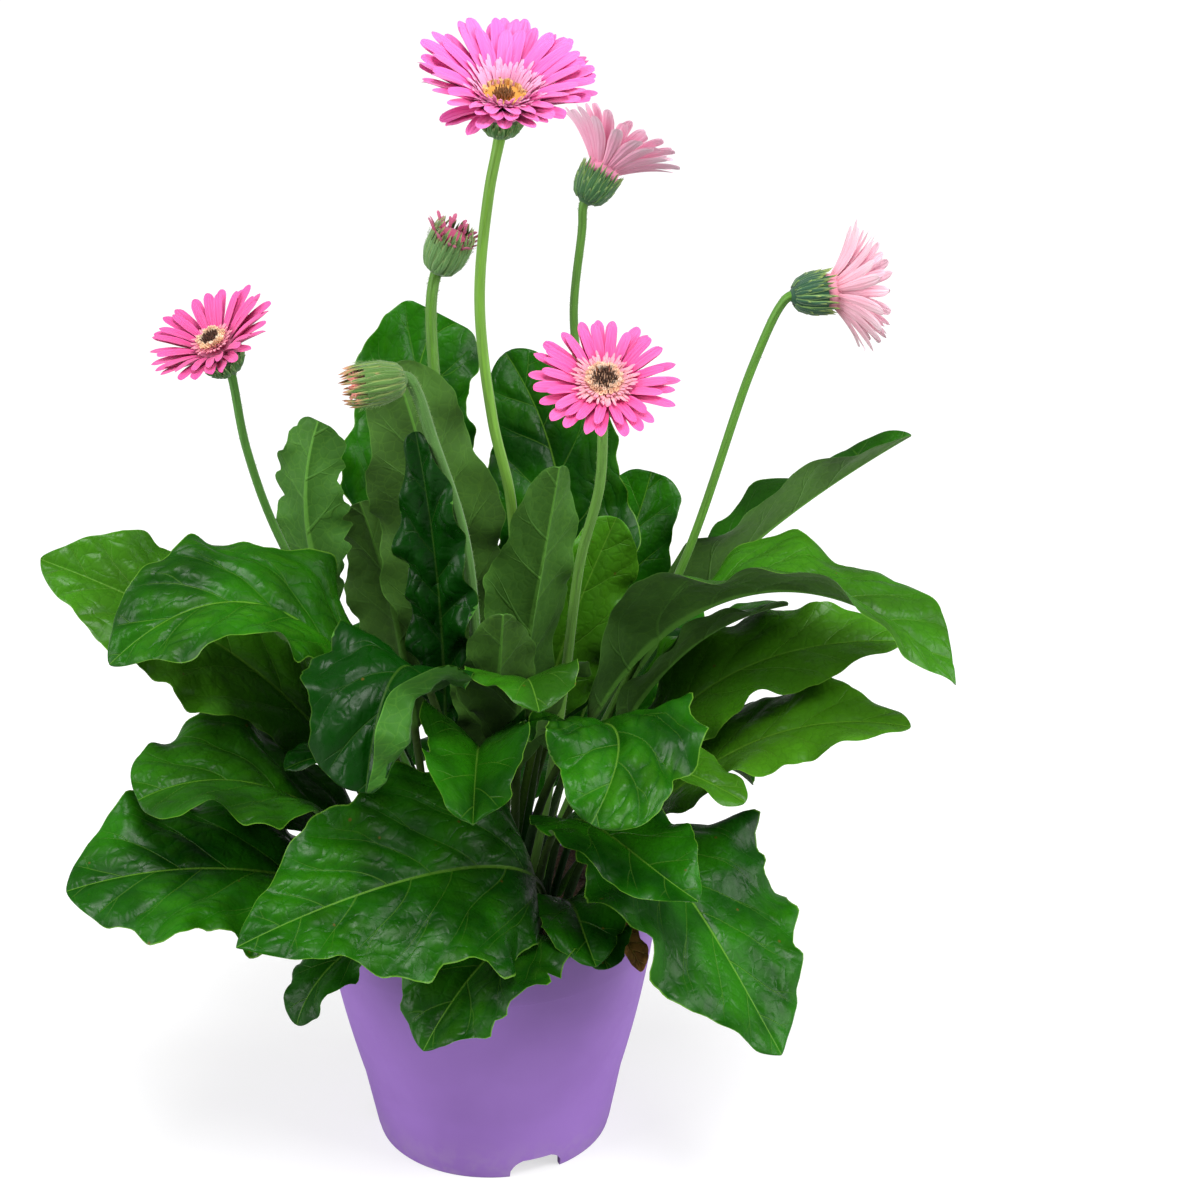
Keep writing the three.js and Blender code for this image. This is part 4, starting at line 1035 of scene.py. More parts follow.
def build_soil():
    crumb = bpy.context.scene.gerbera_pot.crumb / MM
    gap = POT.wall + SOIL.clearance
    radius = POT.band_radius - gap + 0.9
    angle = np.linspace(0, 2 * math.pi, SOIL.sides, endpoint=False)
    body = [
        (POT.foot_radius - POT.skirt - 0.4, POT.floor_height + gap),
        (POT.shoulder_radius - gap, POT.shoulder_height),
        (POT.band_radius - gap, POT.band_height),
        (radius, SOIL.top - 2.5),
    ]
    rows = [[(r * math.cos(a), r * math.sin(a), z) for a in angle] for r, z in body]
    for r in np.linspace(radius, 1.0, SOIL.rings):
        flat = [(r * math.cos(a), r * math.sin(a)) for a in angle]
        rows.append([(x, y, soil_height(x, y, crumb)) for x, y in flat])
    tip = (0, 0, soil_height(0, 0, crumb))
    made = Build()
    made.add(*loft(np.array(rows), tip))
    made.piece("soil_bed", [compost_material()], "soil", "soil", sharp=180)


# ---- Leaves ----------------------------------------------------------------------------------------


def midrib(leaf):
    """Control points of the midrib's cubic, its chord and the chord's azimuth."""
    start, end = root_point(leaf.root), np.array(leaf.tip, float)
    chord = np.linalg.norm(end - start)
    azimuth = math.degrees(math.atan2(end[1] - start[1], end[0] - start[0]))
    first, second = leaf.reach
    points = [
        start,
        start + direction(leaf.root[0], leaf.rise) * chord * first,
        end - direction(leaf.heading, leaf.dip) * chord * second,
        end,
    ]
    return points, chord, azimuth


def on_cubic(points, t):
    a, b, c, d = points
    t = t[:, None]
    r = 1 - t
    place = r**3 * a + 3 * r * r * t * b + 3 * r * t * t * c + t**3 * d
    return place, unit(r * r * (b - a) + 2 * r * t * (c - b) + t * t * (d - c))


def half_outline(s, widest):
    """How wide the blade is at s, from 0 at the stalk to 1 at the tip: 1 at its widest."""
    p, q = BLADE.taper * widest, BLADE.taper * (1 - widest)
    s = np.clip(s, 0, 1)
    return (s**p * (1 - s) ** q) / (widest**p * (1 - widest) ** q)


def edge_fold(leaf, s, v):
    """Where a place v across lies, outwards and upwards in half widths, and how far the blade turns there."""
    side, degrees = leaf.curl
    wide = np.abs(v) + 0 * s
    turn = np.radians(degrees) * smooth(0.4, 0.75, s)
    folded = np.maximum(0, wide - 0.5) * (np.sign(v) == side)
    bent = np.minimum(folded, BLADE.bend)
    halfway = turn * bent / (2 * BLADE.bend) + 1e-6
    chord = bent * np.sin(halfway) / halfway
    flap = folded - bent
    out = wide - folded + chord * np.cos(halfway) + flap * np.cos(turn)
    return out, chord * np.sin(halfway) + flap * np.sin(turn), 2 * halfway


def leaf_build(leaf, index, cell, spacing, swell):
    """The rings of stalk and blade with all their relief, and the surface fields that paint them."""
    control, chord, azimuth = midrib(leaf)
    stalk = leaf.stalk
    rows = max(20, round(chord * 1.12 * (1 - stalk) / cell))
    columns = max(7, round(leaf.width * 0.5 / cell))
    t = np.linspace(0, 1, rows + 1)[1:] * 0.998
    u = np.concatenate([
        [-BLADE.buried / chord], np.linspace(0, stalk, 15), stalk + (1 - stalk) * (1 - (1 - t) ** 1.3)
    ])
    u[-1] = min(u[-1], 0.9985)
    on = np.clip(u, 0, 1)
    centre, along = on_cubic(control, on)
    centre = centre + along * (np.minimum(u, 0) * chord)[:, None]
    steps = np.linalg.norm(np.diff(centre, axis=0), axis=1)
    travelled = np.concatenate([[0], np.cumsum(steps)])
    travelled = travelled - np.interp(stalk, u, travelled)

    s = np.clip((u - stalk) / (1 - stalk), 0, 1)
    grown = np.minimum(1, on / stalk)
    side = direction(azimuth + 90, 0)[None]
    side = unit(side - (side * along).sum(1, keepdims=True) * along)
    up = np.cross(along, side)
    roll = (np.radians(lerp(leaf.roll[0], leaf.roll[1], s)) * grown)[:, None]
    across = side * np.cos(roll) + up * np.sin(roll)
    normal = up * np.cos(roll) - side * np.sin(roll)

    w = np.linspace(0, 1, columns + 1) ** 1.15
    v = np.concatenate([w[::-1], -w[1:]])[None]
    hand = np.sign(v)
    s, grown, run = s[:, None], grown[:, None], travelled[:, None]
    opened = np.minimum(1, s * BLADE.opening)
    fold = np.radians(lerp(leaf.fold[0], leaf.fold[1], s)) * opened
    neck = lerp(1, BLADE.stalk_neck, grown)
    phase = index * GOLDEN
    saw = np.abs(((s * 9 + 0.37 * hand + index * 0.19) % 1) - 0.72)
    fine = (
        0.022 * np.sin(53 * s + 3 * phase + 2 * hand) + 0.014 * np.sin(97 * s + phase - 3 * hand)
        + leaf.jag * 0.13 * (0.36 - saw)
    )
    lobe = 1 + opened * (BLADE.lobe * np.sin(BLADE.lobe_beat * s + phase + hand) + fine)
    fullness = 1 - leaf.blunt * smooth(0.4, 1, s)
    blade = (leaf.width / 2) * half_outline(s, leaf.widest) ** fullness * lobe
    half = np.maximum(BLADE.stalk_half_width * neck * (1 - s), blade)
    beat = np.sin(BLADE.ruffle_beat * s + 2 * phase + BLADE.ruffle_shift * hand)
    crimp = leaf.crimp * np.sin(39 * s + phase + 2.1 * hand) * np.abs(v) ** 3
    wave = (BLADE.ruffle * beat - BLADE.droop) * v * v * opened + crimp * opened
    out = np.abs(v) * half  # millimetres from the midrib

    # Side veins leave the midrib at an angle, bend forward and stay apart by spacing.
    slant = lerp(0.75, 1.25, s)
    turn = (run - slant * out - 0.010 * out * out) / spacing
    turn = turn + 0.11 * np.sin(0.09 * run + phase) + 0.05 * np.sin(0.21 * out + 2 * phase) + 0.13 * index
    away = np.abs((turn + np.where(v > 0, 0.5, 0)) % 1 - 0.5) * spacing * 0.8
    between = 1 - np.exp(-((away / 3.6) ** 2))
    drift = 2.2 * rippled(run * 1.3, out * hand * 1.3, phase)
    ridges = np.abs(np.sin(math.pi * (out + 0.3 * run) / BLADE.quilt + drift))
    ridges = ridges * (0.55 + 0.55 * rippled(run * 0.9, out * hand * 1.1, phase + 2))
    inside = opened * (1 - np.abs(v) ** 5) * (1 - np.exp(-((out / 3.0) ** 2))) * smooth(0, 12, half)
    relief = inside * swell * leaf.pucker * between * (0.55 + 0.55 * ridges)
    relief = relief - inside * 0.25 * np.exp(-((away / 1.3) ** 2))
    relief = relief + 1.6 * opened * rippled(run * 0.7, out * hand * 0.7, phase) * smooth(2, 22, out)

    thin = 1 - np.abs(v) ** 8
    round_ = np.sqrt(np.clip(1 - v * v, 0, 1))
    groove = 0.45 * np.exp(-((out / 1.3) ** 2))
    rib = lerp(BLADE.rib_depth, BLADE.rib_tip_depth, s) - BLADE.half_thickness
    rib = rib * np.exp(-((out / lerp(2.3, 1.0, s)) ** 2))
    over = lerp(BLADE.stalk_top * neck * round_, BLADE.half_thickness * thin - groove, opened)
    below = lerp(BLADE.stalk_bottom * neck * round_, BLADE.half_thickness * thin + rib, opened)
    outwards, upwards, turned = edge_fold(leaf, s, v)
    reach = hand * half * (outwards * np.cos(fold) - upwards * np.sin(fold))
    height = half * (outwards * np.sin(fold) + upwards * np.cos(fold) + wave * np.cos(turned))
    flat = centre[:, None] + across[:, None] * reach[..., None] + normal[:, None] * height[..., None]
    skin = normal[:, None] * np.cos(turned)[..., None] - across[:, None] * (hand * np.sin(turned))[..., None]
    top = flat + skin * (relief + over)[..., None]
    bottom = flat + skin * (relief - below)[..., None]

    rings = shell(top, bottom)
    points, faces = loft(rings, control[3])

    def surface(*values):
        spread = [np.broadcast_to(value, height.shape) for value in values]
        wrapped = [shell(each, each).reshape(-1) for each in spread]
        return np.stack([np.append(each, each[-1]) for each in wrapped], 1)

    fields = dict(
        blade=surface(run * MM, v * half * MM, v),
        veins=surface(turn, s, leaf.tone),
        habit=surface(out, leaf.pucker, (index * 0.37) % 1),
    )
    return points, faces, two_sided(rings, 2 * columns), fields


def build_leaves():
    look = bpy.context.scene.gerbera_leaf
    upper, under = leaf_upper(), leaf_under()
    spacing, swell = look.vein_spacing / MM, look.swell / MM
    for index, leaf in enumerate(LEAVES):
        points, faces, paints, fields = leaf_build(leaf, index, look.cell / MM, spacing, swell)
        made = Build()
        made.add(points, faces, paints, **fields)
        name = f"leaf_{index + 1:02d}"
        made.piece(f"{name}_blade", [upper, under], name, "leaf", sharp=75)


def build_withered():
    dried = leaf_dried()
    points, faces, paints, fields = leaf_build(WITHERED, len(LEAVES), 1.0, 6.0, 1.2)
    made = Build()
    made.add(points, faces, [0] * len(paints), **fields)
    made.piece("withered_leaf_curl", [dried], "withered_leaf", "withered_leaf", sharp=75)


# ---- Stems and cups --------------------------------------------------------------------------------


def stem_points(head):
    """The points that a stem passes, in millimetres."""
    face, centre = direction(*head.face), np.array(head.centre, float)
    return np.array([
        root_point(head.root), *head.path, centre - face * (head.cup + 1),
        centre - face * (head.cup * 0.4),
    ], float)


def through(points, per_span):
    """A smooth line through points, spaced by the root of their distances."""
    first = 2 * points[0] - points[1]
    last = 2 * points[-1] - points[-2]
    whole = np.concatenate([[first], points, [last]])
    line = []
    for i in range(1, len(whole) - 2):
        p0, p1, p2, p3 = whole[i - 1:i + 3]
        d0, d1, d2 = (max(np.linalg.norm(b - a) ** 0.5, 1e-4) for a, b in ((p0, p1), (p1, p2), (p2, p3)))
        t1 = ((p1 - p0) / d0 - (p2 - p0) / (d0 + d1) + (p2 - p1) / d1) * d1
        t2 = ((p2 - p1) / d1 - (p3 - p1) / (d1 + d2) + (p3 - p2) / d2) * d1
        t = np.linspace(0, 1, per_span, endpoint=i == len(whole) - 3)[:, None]
        line.append(
            p1 + t1 * t + (-3 * p1 + 3 * p2 - 2 * t1 - t2) * t**2 + (2 * p1 - 2 * p2 + t1 + t2) * t**3
        )
    return np.concatenate(line)


def carried_frames(line):
    """Unit tangents of a line and two cross directions that don't twist along it."""
    along = unit(np.gradient(line, axis=0))
    a = np.cross(along[0], [0.3, 1, 0])
    firsts = []
    for way in along:
        a = unit(a - way * (a @ way))
        firsts.append(a)
    firsts = np.array(firsts)
    return along, firsts, np.cross(along, firsts)


def stem_rings(line, radius, sides):
    along, a, b = carried_frames(line)
    angle = np.linspace(0, 2 * math.pi, sides, endpoint=False)
    ribs = 1 + 0.025 * np.cos(5 * angle)[None]
    around = a[:, None] * np.cos(angle)[None, :, None] + b[:, None] * np.sin(angle)[None, :, None]
    return line[:, None] + around * (radius[:, None] * ribs)[..., None], around, along


def mount(points, head):
    """Turns points that were made about Z so that they face as the head does."""
    face = Vector(direction(*head.face))
    turn = np.array(Vector((0, 0, 1)).rotation_difference(face).to_matrix())
    return np.asarray(points) @ turn.T + np.array(head.centre, float)


def cup_radius_at(z, h, radius):
    """Radius of the cup's body at a height over the head's back."""
    heights = [-h - 1, -h * 0.97, -h * 0.86, -h * 0.5, -h * 0.2, 4]
    radii = [STEM_RADIUS, radius * 0.42, radius * 0.64, radius * 0.88, radius * 0.93, radius * 0.98]
    return np.interp(z, heights, radii)


def strip_field(spans, luck):
    """The field of a strip that ends in a tip: how far along, how far across, and its own number."""
    along, across = (span.reshape(-1) for span in spans)
    return np.stack([np.append(along, 1), np.append(across, 0), np.full(len(along) + 1, luck)], 1)


def bracts(head, radius, rise, closed):
    """Points, faces and fields of each bract of the cup, in overlapping rows of long narrow scales."""
    chance = random.Random(int(head.centre[0] * 7 + 991))
    h = head.cup
    top = rise + (4 if closed else 0.8)
    rows = [
        (11, -0.98 * h, -0.52 * h, 1.35, 0.3), (14, -0.96 * h, -0.22 * h, 1.4, 0.15),
        (17, -0.92 * h, lerp(-0.22 * h, top, 0.6), 1.4, 0.0), (19, -0.8 * h, top, 1.3, -0.25),
    ]
    if closed:
        rows.append((15, -0.4 * h, top + 2.2, 1.5, -1.2))
    for row, (count, low, high, width, stand) in enumerate(rows):
        for k in range(count):
            azimuth = 2 * math.pi * (k + 0.5 * (row % 2) + 0.2 * chance.uniform(-1, 1)) / count
            end = high + 0.09 * h * chance.uniform(-1, 1)
            t = np.linspace(0, 1, 11)[:, None]
            v = np.array([1, 0.5, 0, -0.5, -1])[None]
            z = lerp(low, end, t) + 0 * v
            broad = width * np.minimum(1, 0.4 + 1.8 * t) * (1 - t**2.1) ** 0.8
            flare = -radius * (0.30 if row > 3 else 0.16) * t**3 if closed else 0.25 * t**5
            r = cup_radius_at(z, h, radius) + stand + flare
            sway = 0.05 * chance.uniform(-1, 1) * t**2
            angle = azimuth + sway + v * broad / np.maximum(r, 2)
            crown = 0.5 * (1 - v * v)
            sheets = []
            for lift in (crown + 0.22, crown - 0.22 - 0.1 * (1 - t)):
                rr = r + np.where(np.abs(v) == 1, 0, lift)
                sheets.append(np.stack([rr * np.cos(angle), rr * np.sin(angle), z], 2)[:, ::-1])
            rings = shell(*sheets)[:-1]
            tip = sheets[0][-1, 2]
            spans = (t + 0 * v, (v + 0 * t)[:, ::-1])
            yield *loft(rings, tip), strip_field([shell(x, x)[:-1] for x in spans], chance.random())


def build_stem(head, name, radius, rise, closed):
    hair_length = bpy.context.scene.gerbera_head.hair_length / MM
    h = head.cup
    made = Build()
    line = through(stem_points(head), STEM_STEPS)
    line[0] = line[0] - unit(line[1] - line[0]) * BLADE.buried
    share = np.concatenate([[0], np.cumsum(np.linalg.norm(np.diff(line, axis=0), axis=1))])
    share = share / share[-1]
    thick = lerp(STEM_RADIUS, head.thick, np.minimum(1, 3 * share)) + 0.4 * smooth(0.95, 1.0, share)
    rings, around, along = stem_rings(line, thick, STEM_SIDES)
    points, faces = loft(rings)
    angle = np.tile(np.linspace(-1, 1, STEM_SIDES), len(line))
    field = np.stack([np.repeat(share * 14, STEM_SIDES), angle, np.zeros(len(points))], 1)
    made.add(points, faces, 0, green=field)
    z = np.linspace(-h - 1, -1, 12)
    body = [(0, -h - 1.2), *((cup_radius_at(x, h, radius) - 0.4, x) for x in z), (0, -1)]
    points, faces = lathe(body, 40)
    made.add(mount(points, head), faces, 1, green=[0.4, 0.2, 0.8])
    for points, faces, field in bracts(head, radius, rise, closed):
        made.add(mount(points, head), faces, 1, green=field)
    chance = np.random.default_rng(int(head.root[0]) + 400)
    count = int(STEM_HAIRS * head.hair)
    ring, place = chance.integers(8, len(line) - 3, count), chance.integers(0, STEM_SIDES, count)
    start = rings[ring, place] + (rings[ring + 1, place] - rings[ring, place]) * chance.random((count, 1))
    ways = around[ring, place] + 0.5 * along[ring] + chance.normal(0, 0.25, (count, 3))
    lengths = hair_length * (0.6 + 0.8 * chance.random(count))
    made.add(*spikes(start, ways, lengths, 0.07), 2)
    count = int(CUP_HAIRS * head.hair + (BUD_HAIRS if closed else 0))
    angle, z = chance.random(count) * 2 * math.pi, lerp(-0.95 * h, rise, chance.random(count))
    r = cup_radius_at(z, h, radius) + 0.4
    start = np.stack([r * np.cos(angle), r * np.sin(angle), z], 1)
    ways = np.stack([np.cos(angle), np.sin(angle), 1.0 + 0 * z], 1) + chance.normal(0, 0.3, (count, 3))
    longest = (1.3 if closed else 0.8) * hair_length
    tips = start + unit(ways) * (longest * (0.5 + chance.random((count, 1))))
    start, tips = mount(start, head), mount(tips, head)
    made.add(*spikes(start, tips - start, np.linalg.norm(tips - start, axis=1), 0.05), 2)
    title = name.replace("_", " ")
    green = stem_material(f"Stem of {title}", head.stem)
    cup = bract_material(f"Cup of {title}", head.bract, head.bract_edge, head.bract_tip)
    made.piece(f"{name}_stalk", [green, cup, hair_material()], f"{name}_stem", "stem", sharp=70)


def build_stems():
    for i, head in enumerate(FLOWERS):
        build_stem(head, f"flower_{i + 1}", CUP_RADIUS, head.rise, False)
    for i, head in enumerate(BUDS):
        build_stem(head, f"bud_{i + 1}", head.radius, BUD_RISE, True)


# ---- Rays, collars and discs -----------------------------------------------------------------------


def ray(azimuth, root, height, length, width, lift, chance, rows, curl=0.0, form="ray"):
    """One floret about Z: a channelled strip with a rounded tip. Returns points, faces, paints, field."""
    t = (1 - (1 - np.linspace(0, 1, rows)[:, None]) ** 1.35) * 0.988
    if form == "ray":
        tip = np.clip((t - 0.84) / 0.16, 0, 1)
        broad = np.minimum(1, 0.26 + 1.25 * t**0.9) * (1 - tip**2) ** 0.5
        broad = broad * (0.88 + 0.12 * np.sin(math.pi * t))
    else:
        broad = (0.55 + 0.45 * t) * np.clip(1 - np.clip((t - 0.82) / 0.18, 0, 1) ** 2, 0, 1) ** 0.5
    v = np.linspace(1, -1, RAY_COLUMNS)[None]
    out, side = direction(math.degrees(azimuth), 0), direction(math.degrees(azimuth) + 90, 0)
    up = np.array([0, 0, 1.0])
    lifts = np.radians(lift)
    first = out * math.cos(lifts[0]) + up * math.sin(lifts[0])
    second = out * math.cos(lifts[1]) + up * math.sin(lifts[1])
    a = out * root + up * height
    b = a + first * length / 2
    c = b + second * length / 2
    line = (1 - t) ** 2 * a + 2 * t * (1 - t) * b + t**2 * c
    slope = unit((1 - t) * (b - a) + t * (c - b))
    over = np.cross(slope, side[None])
    sway = chance.uniform(-0.09, 0.09) * length * (t**2)
    twist = chance.uniform(-0.32, 0.32) * t
    channel = width * (0.16 * v**2 - 0.035 * np.cos(3 * math.pi * v))
    channel = channel * np.sin(math.pi * np.clip(t, 0.03, 1) ** 0.8)
    hollow = channel + width * twist * v * 0.5 - curl * length * t**3
    middle = line[:, None] + side * (v * broad * width / 2 + sway)[..., None]
    middle = middle + over[:, None] * hollow[..., None]
    thick = 0.32 * (1 - 0.6 * t) * (1 - v**4)
    top = middle + over[:, None] * thick[..., None]
    bottom = middle - over[:, None] * thick[..., None]
    rings = shell(top, bottom)
    end = middle[-1, RAY_COLUMNS // 2] + slope[-1] * 0.012 * length
    points, faces = loft(rings, end)
    spans = [shell(x, x) for x in (t + 0 * v, v + 0 * t)]
    return points, faces, two_sided(rings, RAY_COLUMNS - 1), strip_field(spans, chance.random())


def apart(azimuth, centre):
    """The angle in degrees between an azimuth in radians and one in degrees."""
    return abs((math.degrees(azimuth) - centre + 180) % 360 - 180)


def build_rays(head, number):
    look = bpy.context.scene.gerbera_head
    chance = random.Random(number * 71 + 11)
    made = Build()
    top = 3 * LAYER_STEP + 1.2
    receptacle = [(0, SEAT), (8, SEAT), (8.4, 1), (8, top - 0.6), (7, top), (0, top)]
    points, faces = lathe(receptacle, 32)
    made.add(mount(points, head), faces, 1, ray=[0.02, 0.0, 0.5])
    for row, (count, share, width, stand) in enumerate(head.layers):
        for k in range(count):
            turns = k + 0.5 * (row % 2) + 0.25 * (row // 2) + 0.16 * chance.uniform(-1, 1)
            azimuth = 2 * math.pi * turns / count
            length = (head.radius - RAY_ROOT) * share * (1 + 0.06 * chance.uniform(-1, 1))
            lift = [a + stand + 2.2 * chance.uniform(-1, 1) for a in head.lift]
            before = head.front * max(0, math.cos(math.radians(min(90, apart(azimuth, -90) * 1.4))))
            lift = [lift[0] - 9 * before, lift[1] - 15 * before]
            length *= 1 - 0.24 * before
            for centre, reach, low in head.drooping:
                if apart(azimuth, centre) < reach and row == 0:
                    lift = [lift[0] - 0.55 * low, lift[1] - low]
                    length *= 0.72
            points, faces, paints, field = ray(
                azimuth, RAY_ROOT, RAY_BASE + min(row, 2) * LAYER_STEP, length, head.radius * width, lift,
                chance, look.ray_rows, curl=0.03 + 0.03 * chance.random(),
            )
            made.add(mount(points, head), faces, paints, ray=field)
    name = f"flower {number}"
    face = ray_material(f"Rays of {name}", *head.face_colours)
    # The ray backs are the undersides' own colours, set lighter as well. This is painted light on undersides
    # that face away from the lamps.
    back = ray_material(f"Ray backs of {name}", *head.back_colours, amount=0.5, rough=0.6)
    made.piece(f"flower_{number}_petals", [face, back], f"flower_{number}_rays", "ray", sharp=80)


def tube(centre, way, length, radius, chance, flare=1.35):
    """A small disc floret: a tube that widens to an open mouth of five teeth, or closes to a point."""
    way = way / np.linalg.norm(way)
    a = unit(np.cross(way, [0.31, 0.87, 0.12]))
    b = np.cross(way, a)
    turn = chance.random() * 6.28
    rings = []
    for t, r in ((0, 0.7), (0.55, 0.8), (0.9, flare), (1.0, flare * 1.12)):
        ring = []
        for j in range(10):
            angle = turn + j * 2 * math.pi / 10
            tooth = 1 + (0.14 if t == 1.0 and j % 2 == 0 else 0)
            place = centre + way * (length * t * tooth)
            ring.append(place + radius * r * (math.cos(angle) * a + math.sin(angle) * b))
        rings.append(ring)
    return loft(np.array(rings), centre + way * length * (0.72 if flare > 1 else 1.25))


def build_disc(head, number):
    chance = random.Random(number * 131 + 5)
    r = head.disc
    base = 3 * LAYER_STEP + DISC_GAP
    middle = head.ring * r  # radius of the ring of open florets
    lean = head.lift[0] + head.lean
    shut = head.shut * middle  # radius of the closed florets in the middle
    made = Build()
    floor = [
        (0, base), (middle * 0.6, base), (middle * 0.9, base + 0.8), (middle, base + 2.0),
        (middle * 0.8, base + 2.9), (middle * 0.4, base + 2.6), (0, base + 2.3),
    ]
    points, faces = lathe(floor, 32)
    made.add(mount(points, head), faces, 1, ray=[0.1, 0.0, 0.5])
    for row, (count, reach, width) in enumerate(head.collar):
        for k in range(count):
            azimuth = 2 * math.pi * (k + 0.5 * (row % 2) + 0.3 * chance.uniform(-1, 1)) / count
            length = r * reach * (1 + 0.22 * chance.uniform(-1, 1))
            stand = lean + 9 * row
            lift = [stand + 4 * chance.uniform(-1, 1), stand - 12 + 8 * chance.uniform(-1, 1)]
            points, faces, _, field = ray(
                azimuth, middle * 0.8, base + 0.5 + 0.5 * row, length, width, lift, chance, 7, form="strap"
            )
            made.add(mount(points, head), faces, 0, ray=field)
    for row, (count, radius, high, size) in enumerate(OPEN_FLORETS):
        for k in range(count):
            azimuth = 2 * math.pi * (k + 0.5 * row + 0.35 * chance.uniform(-1, 1)) / count
            place = direction(math.degrees(azimuth), 0) * middle * radius * (1 + 0.1 * chance.uniform(-1, 1))
            place = place + np.array([0, 0, base + 1.0])
            way = direction(math.degrees(azimuth), 0) * (radius * 0.34 + 0.12 * chance.uniform(-1, 1))
            way = way + np.array([chance.uniform(-0.15, 0.15), chance.uniform(-0.15, 0.15), 1])
            points, faces = tube(place, way, high * (1 + 0.22 * chance.uniform(-1, 1)), size, chance)
            tint = [0.3 + 0.3 * row, chance.uniform(-1, 1), chance.random()]
            made.add(mount(points, head), faces, 1, ray=tint)
    for k in range(CLOSED_FLORETS):
        radius = shut * math.sqrt((k + 0.5) / CLOSED_FLORETS)
        azimuth = k * GOLDEN
        place = np.array([radius * math.cos(azimuth), radius * math.sin(azimuth), base + 1.6])
        way = np.array([place[0] * 0.05 + chance.uniform(-0.12, 0.12), place[1] * 0.05, 1])
        points, faces = tube(place, way, 2.6 + 1.1 * chance.random(), 0.5, chance, flare=0.6)
        made.add(mount(points, head), faces, 2, ray=[0.5, 0.0, chance.random()])
    name = f"flower {number}"
    collar = ray_material(f"Collar of {name}", *head.collar_colours)
    ring_paint = ray_material(f"Disc florets of {name}", *head.ring_colours, amount=0.5)
    closed = head.closed or tuple(bpy.context.scene.gerbera_head.anther)
    dark = ray_material(
        f"Closed florets of {name}", closed, closed, toned(closed, 1.8), toned(closed, 2.6), amount=0.4
    )
    made.piece(f"flower_{number}_centre", [collar, ring_paint, dark], f"flower_{number}_disc", "disc")


def build_tuft(head, number):
    """The rays of a bud, which stand together in the cup's mouth with their tips just apart."""
    chance = random.Random(number * 17 + 3)
    r = head.radius
    made = Build()
    plug = [(0, SEAT), (r * 0.5, SEAT), (r * 0.66, 1.5), (r * 0.62, 3.4), (r * 0.3, 4.6), (0, 4.8)]
    points, faces = lathe(plug, 28)
    made.add(mount(points, head), faces, 0, ray=[0.6, 0.0, 0.4])
    for row, (count, radius, length, lift) in enumerate(head.tips):
        for k in range(count):
            azimuth = 2 * math.pi * (k + 0.5 * row + 0.25 * chance.uniform(-1, 1)) / count
            extent = length * (1 + 0.3 * chance.uniform(-1, 1))
            stand = [lift + 8 * chance.uniform(-1, 1), lift - 22]
            points, faces, _, field = ray(
                azimuth, r * radius, -0.3, extent, 2.2, stand, chance, 8, form="strap"
            )
            field[:, 0] = 0.35 + 0.65 * field[:, 0]
            made.add(mount(points, head), faces, 0, ray=field)
    paint = ray_material(f"Tips of bud {number}", *head.tip_colours, amount=0.4)
    made.piece(f"bud_{number}_tips", [paint], f"bud_{number}_rays", "ray", sharp=80)


# ---- Stage -----------------------------------------------------------------------------------------


def build_stage():
    look = bpy.context.scene.gerbera_stage
    scene = bpy.context.scene
    scene.view_settings.view_transform = "Standard"
    mesh = bpy.data.meshes.new("floor")
    grid = bmesh.new()
    bmesh.ops.create_grid(grid, x_segments=8, y_segments=8, size=12)
    grid.to_mesh(mesh)
    grid.free()
    floor = bpy.data.objects.new("floor", mesh)
    scene.collection.objects.link(floor)
    uniform = dict(Specular_IOR_Level=0.2, Roughness=0.8, Emission_Color=(1, 1, 1))
    material, tree, shader = new_material("Pale floor", **uniform)
    mottle = use(tree, mottle_group(), Place=object_place(tree), Scale=3.0)
    paint = blend(mottle["Blotches"] * 0.3, look.floor, toned(look.floor, 0.985))
    feed(paint, shader.inputs["Base Color"])
    seen = added(tree, "ShaderNodeLightPath", output="Is Camera Ray")
    feed(seen * look.glow, shader.inputs["Emission Strength"])
    mesh.materials.append(material)

    world = bpy.data.worlds.new("Soft white surround")
    scene.world = world
    world.use_nodes = True
    background = world.node_tree.nodes["Background"]
    background.inputs["Color"].default_value = (1, 1, 1, 1)
    background.inputs["Strength"].default_value = look.sky

    def lamp(name, kind, energy, place, aim, **settings):
        data = bpy.data.lights.new(name, kind)
        data.energy = energy
        for key, value in settings.items():
            setattr(data, key, value)
        made = bpy.data.objects.new(name, data)
        made.location = place
        made.rotation_euler = (Vector(aim) - Vector(place)).to_track_quat("-Z", "Y").to_euler()
        scene.collection.objects.link(made)

    lamp("overhead light", "SUN", look.key, (0.2, -0.75, 2.0), (0, 0, 0.2), angle=math.radians(30))
    lamp("left softbox", "AREA", look.softbox, (-1.5, -0.6, 0.9), (0, 0, 0.2), size=1.2)
    lamp("right softbox", "AREA", look.softbox * 1.1, (1.6, -0.6, 0.9), (0, 0, 0.2), size=1.2)

    data = bpy.data.cameras.new("view")
    data.sensor_fit = "HORIZONTAL"
    data.sensor_width = VIEW.sensor
    data.lens = VIEW.sensor * VIEW.focal / VIEW.width
    data.clip_start, data.clip_end = 0.05, 60
    camera = bpy.data.objects.new("view", data)
    camera.location = VIEW.place
    camera.rotation_euler = (math.radians(90 - VIEW.down), 0, math.radians(VIEW.turn))
    scene.collection.objects.link(camera)
    scene.camera = camera


# ---- Operators, panel and run ------------------------------------------------------------------------


class GERBERA_OT_stage(bpy.types.Operator):
    """Makes the floor, the lights and the camera."""

    bl_idname = "gerbera.stage"
    bl_label = "Stage"

    def execute(self, context):
        build_stage()
        return {"FINISHED"}


class GERBERA_OT_pot(bpy.types.Operator):
    """Makes the pot with its rim band, raised floor and notches."""

    bl_idname = "gerbera.pot"
    bl_label = "Pot"

    def execute(self, context):
        build_pot()
        return {"FINISHED"}


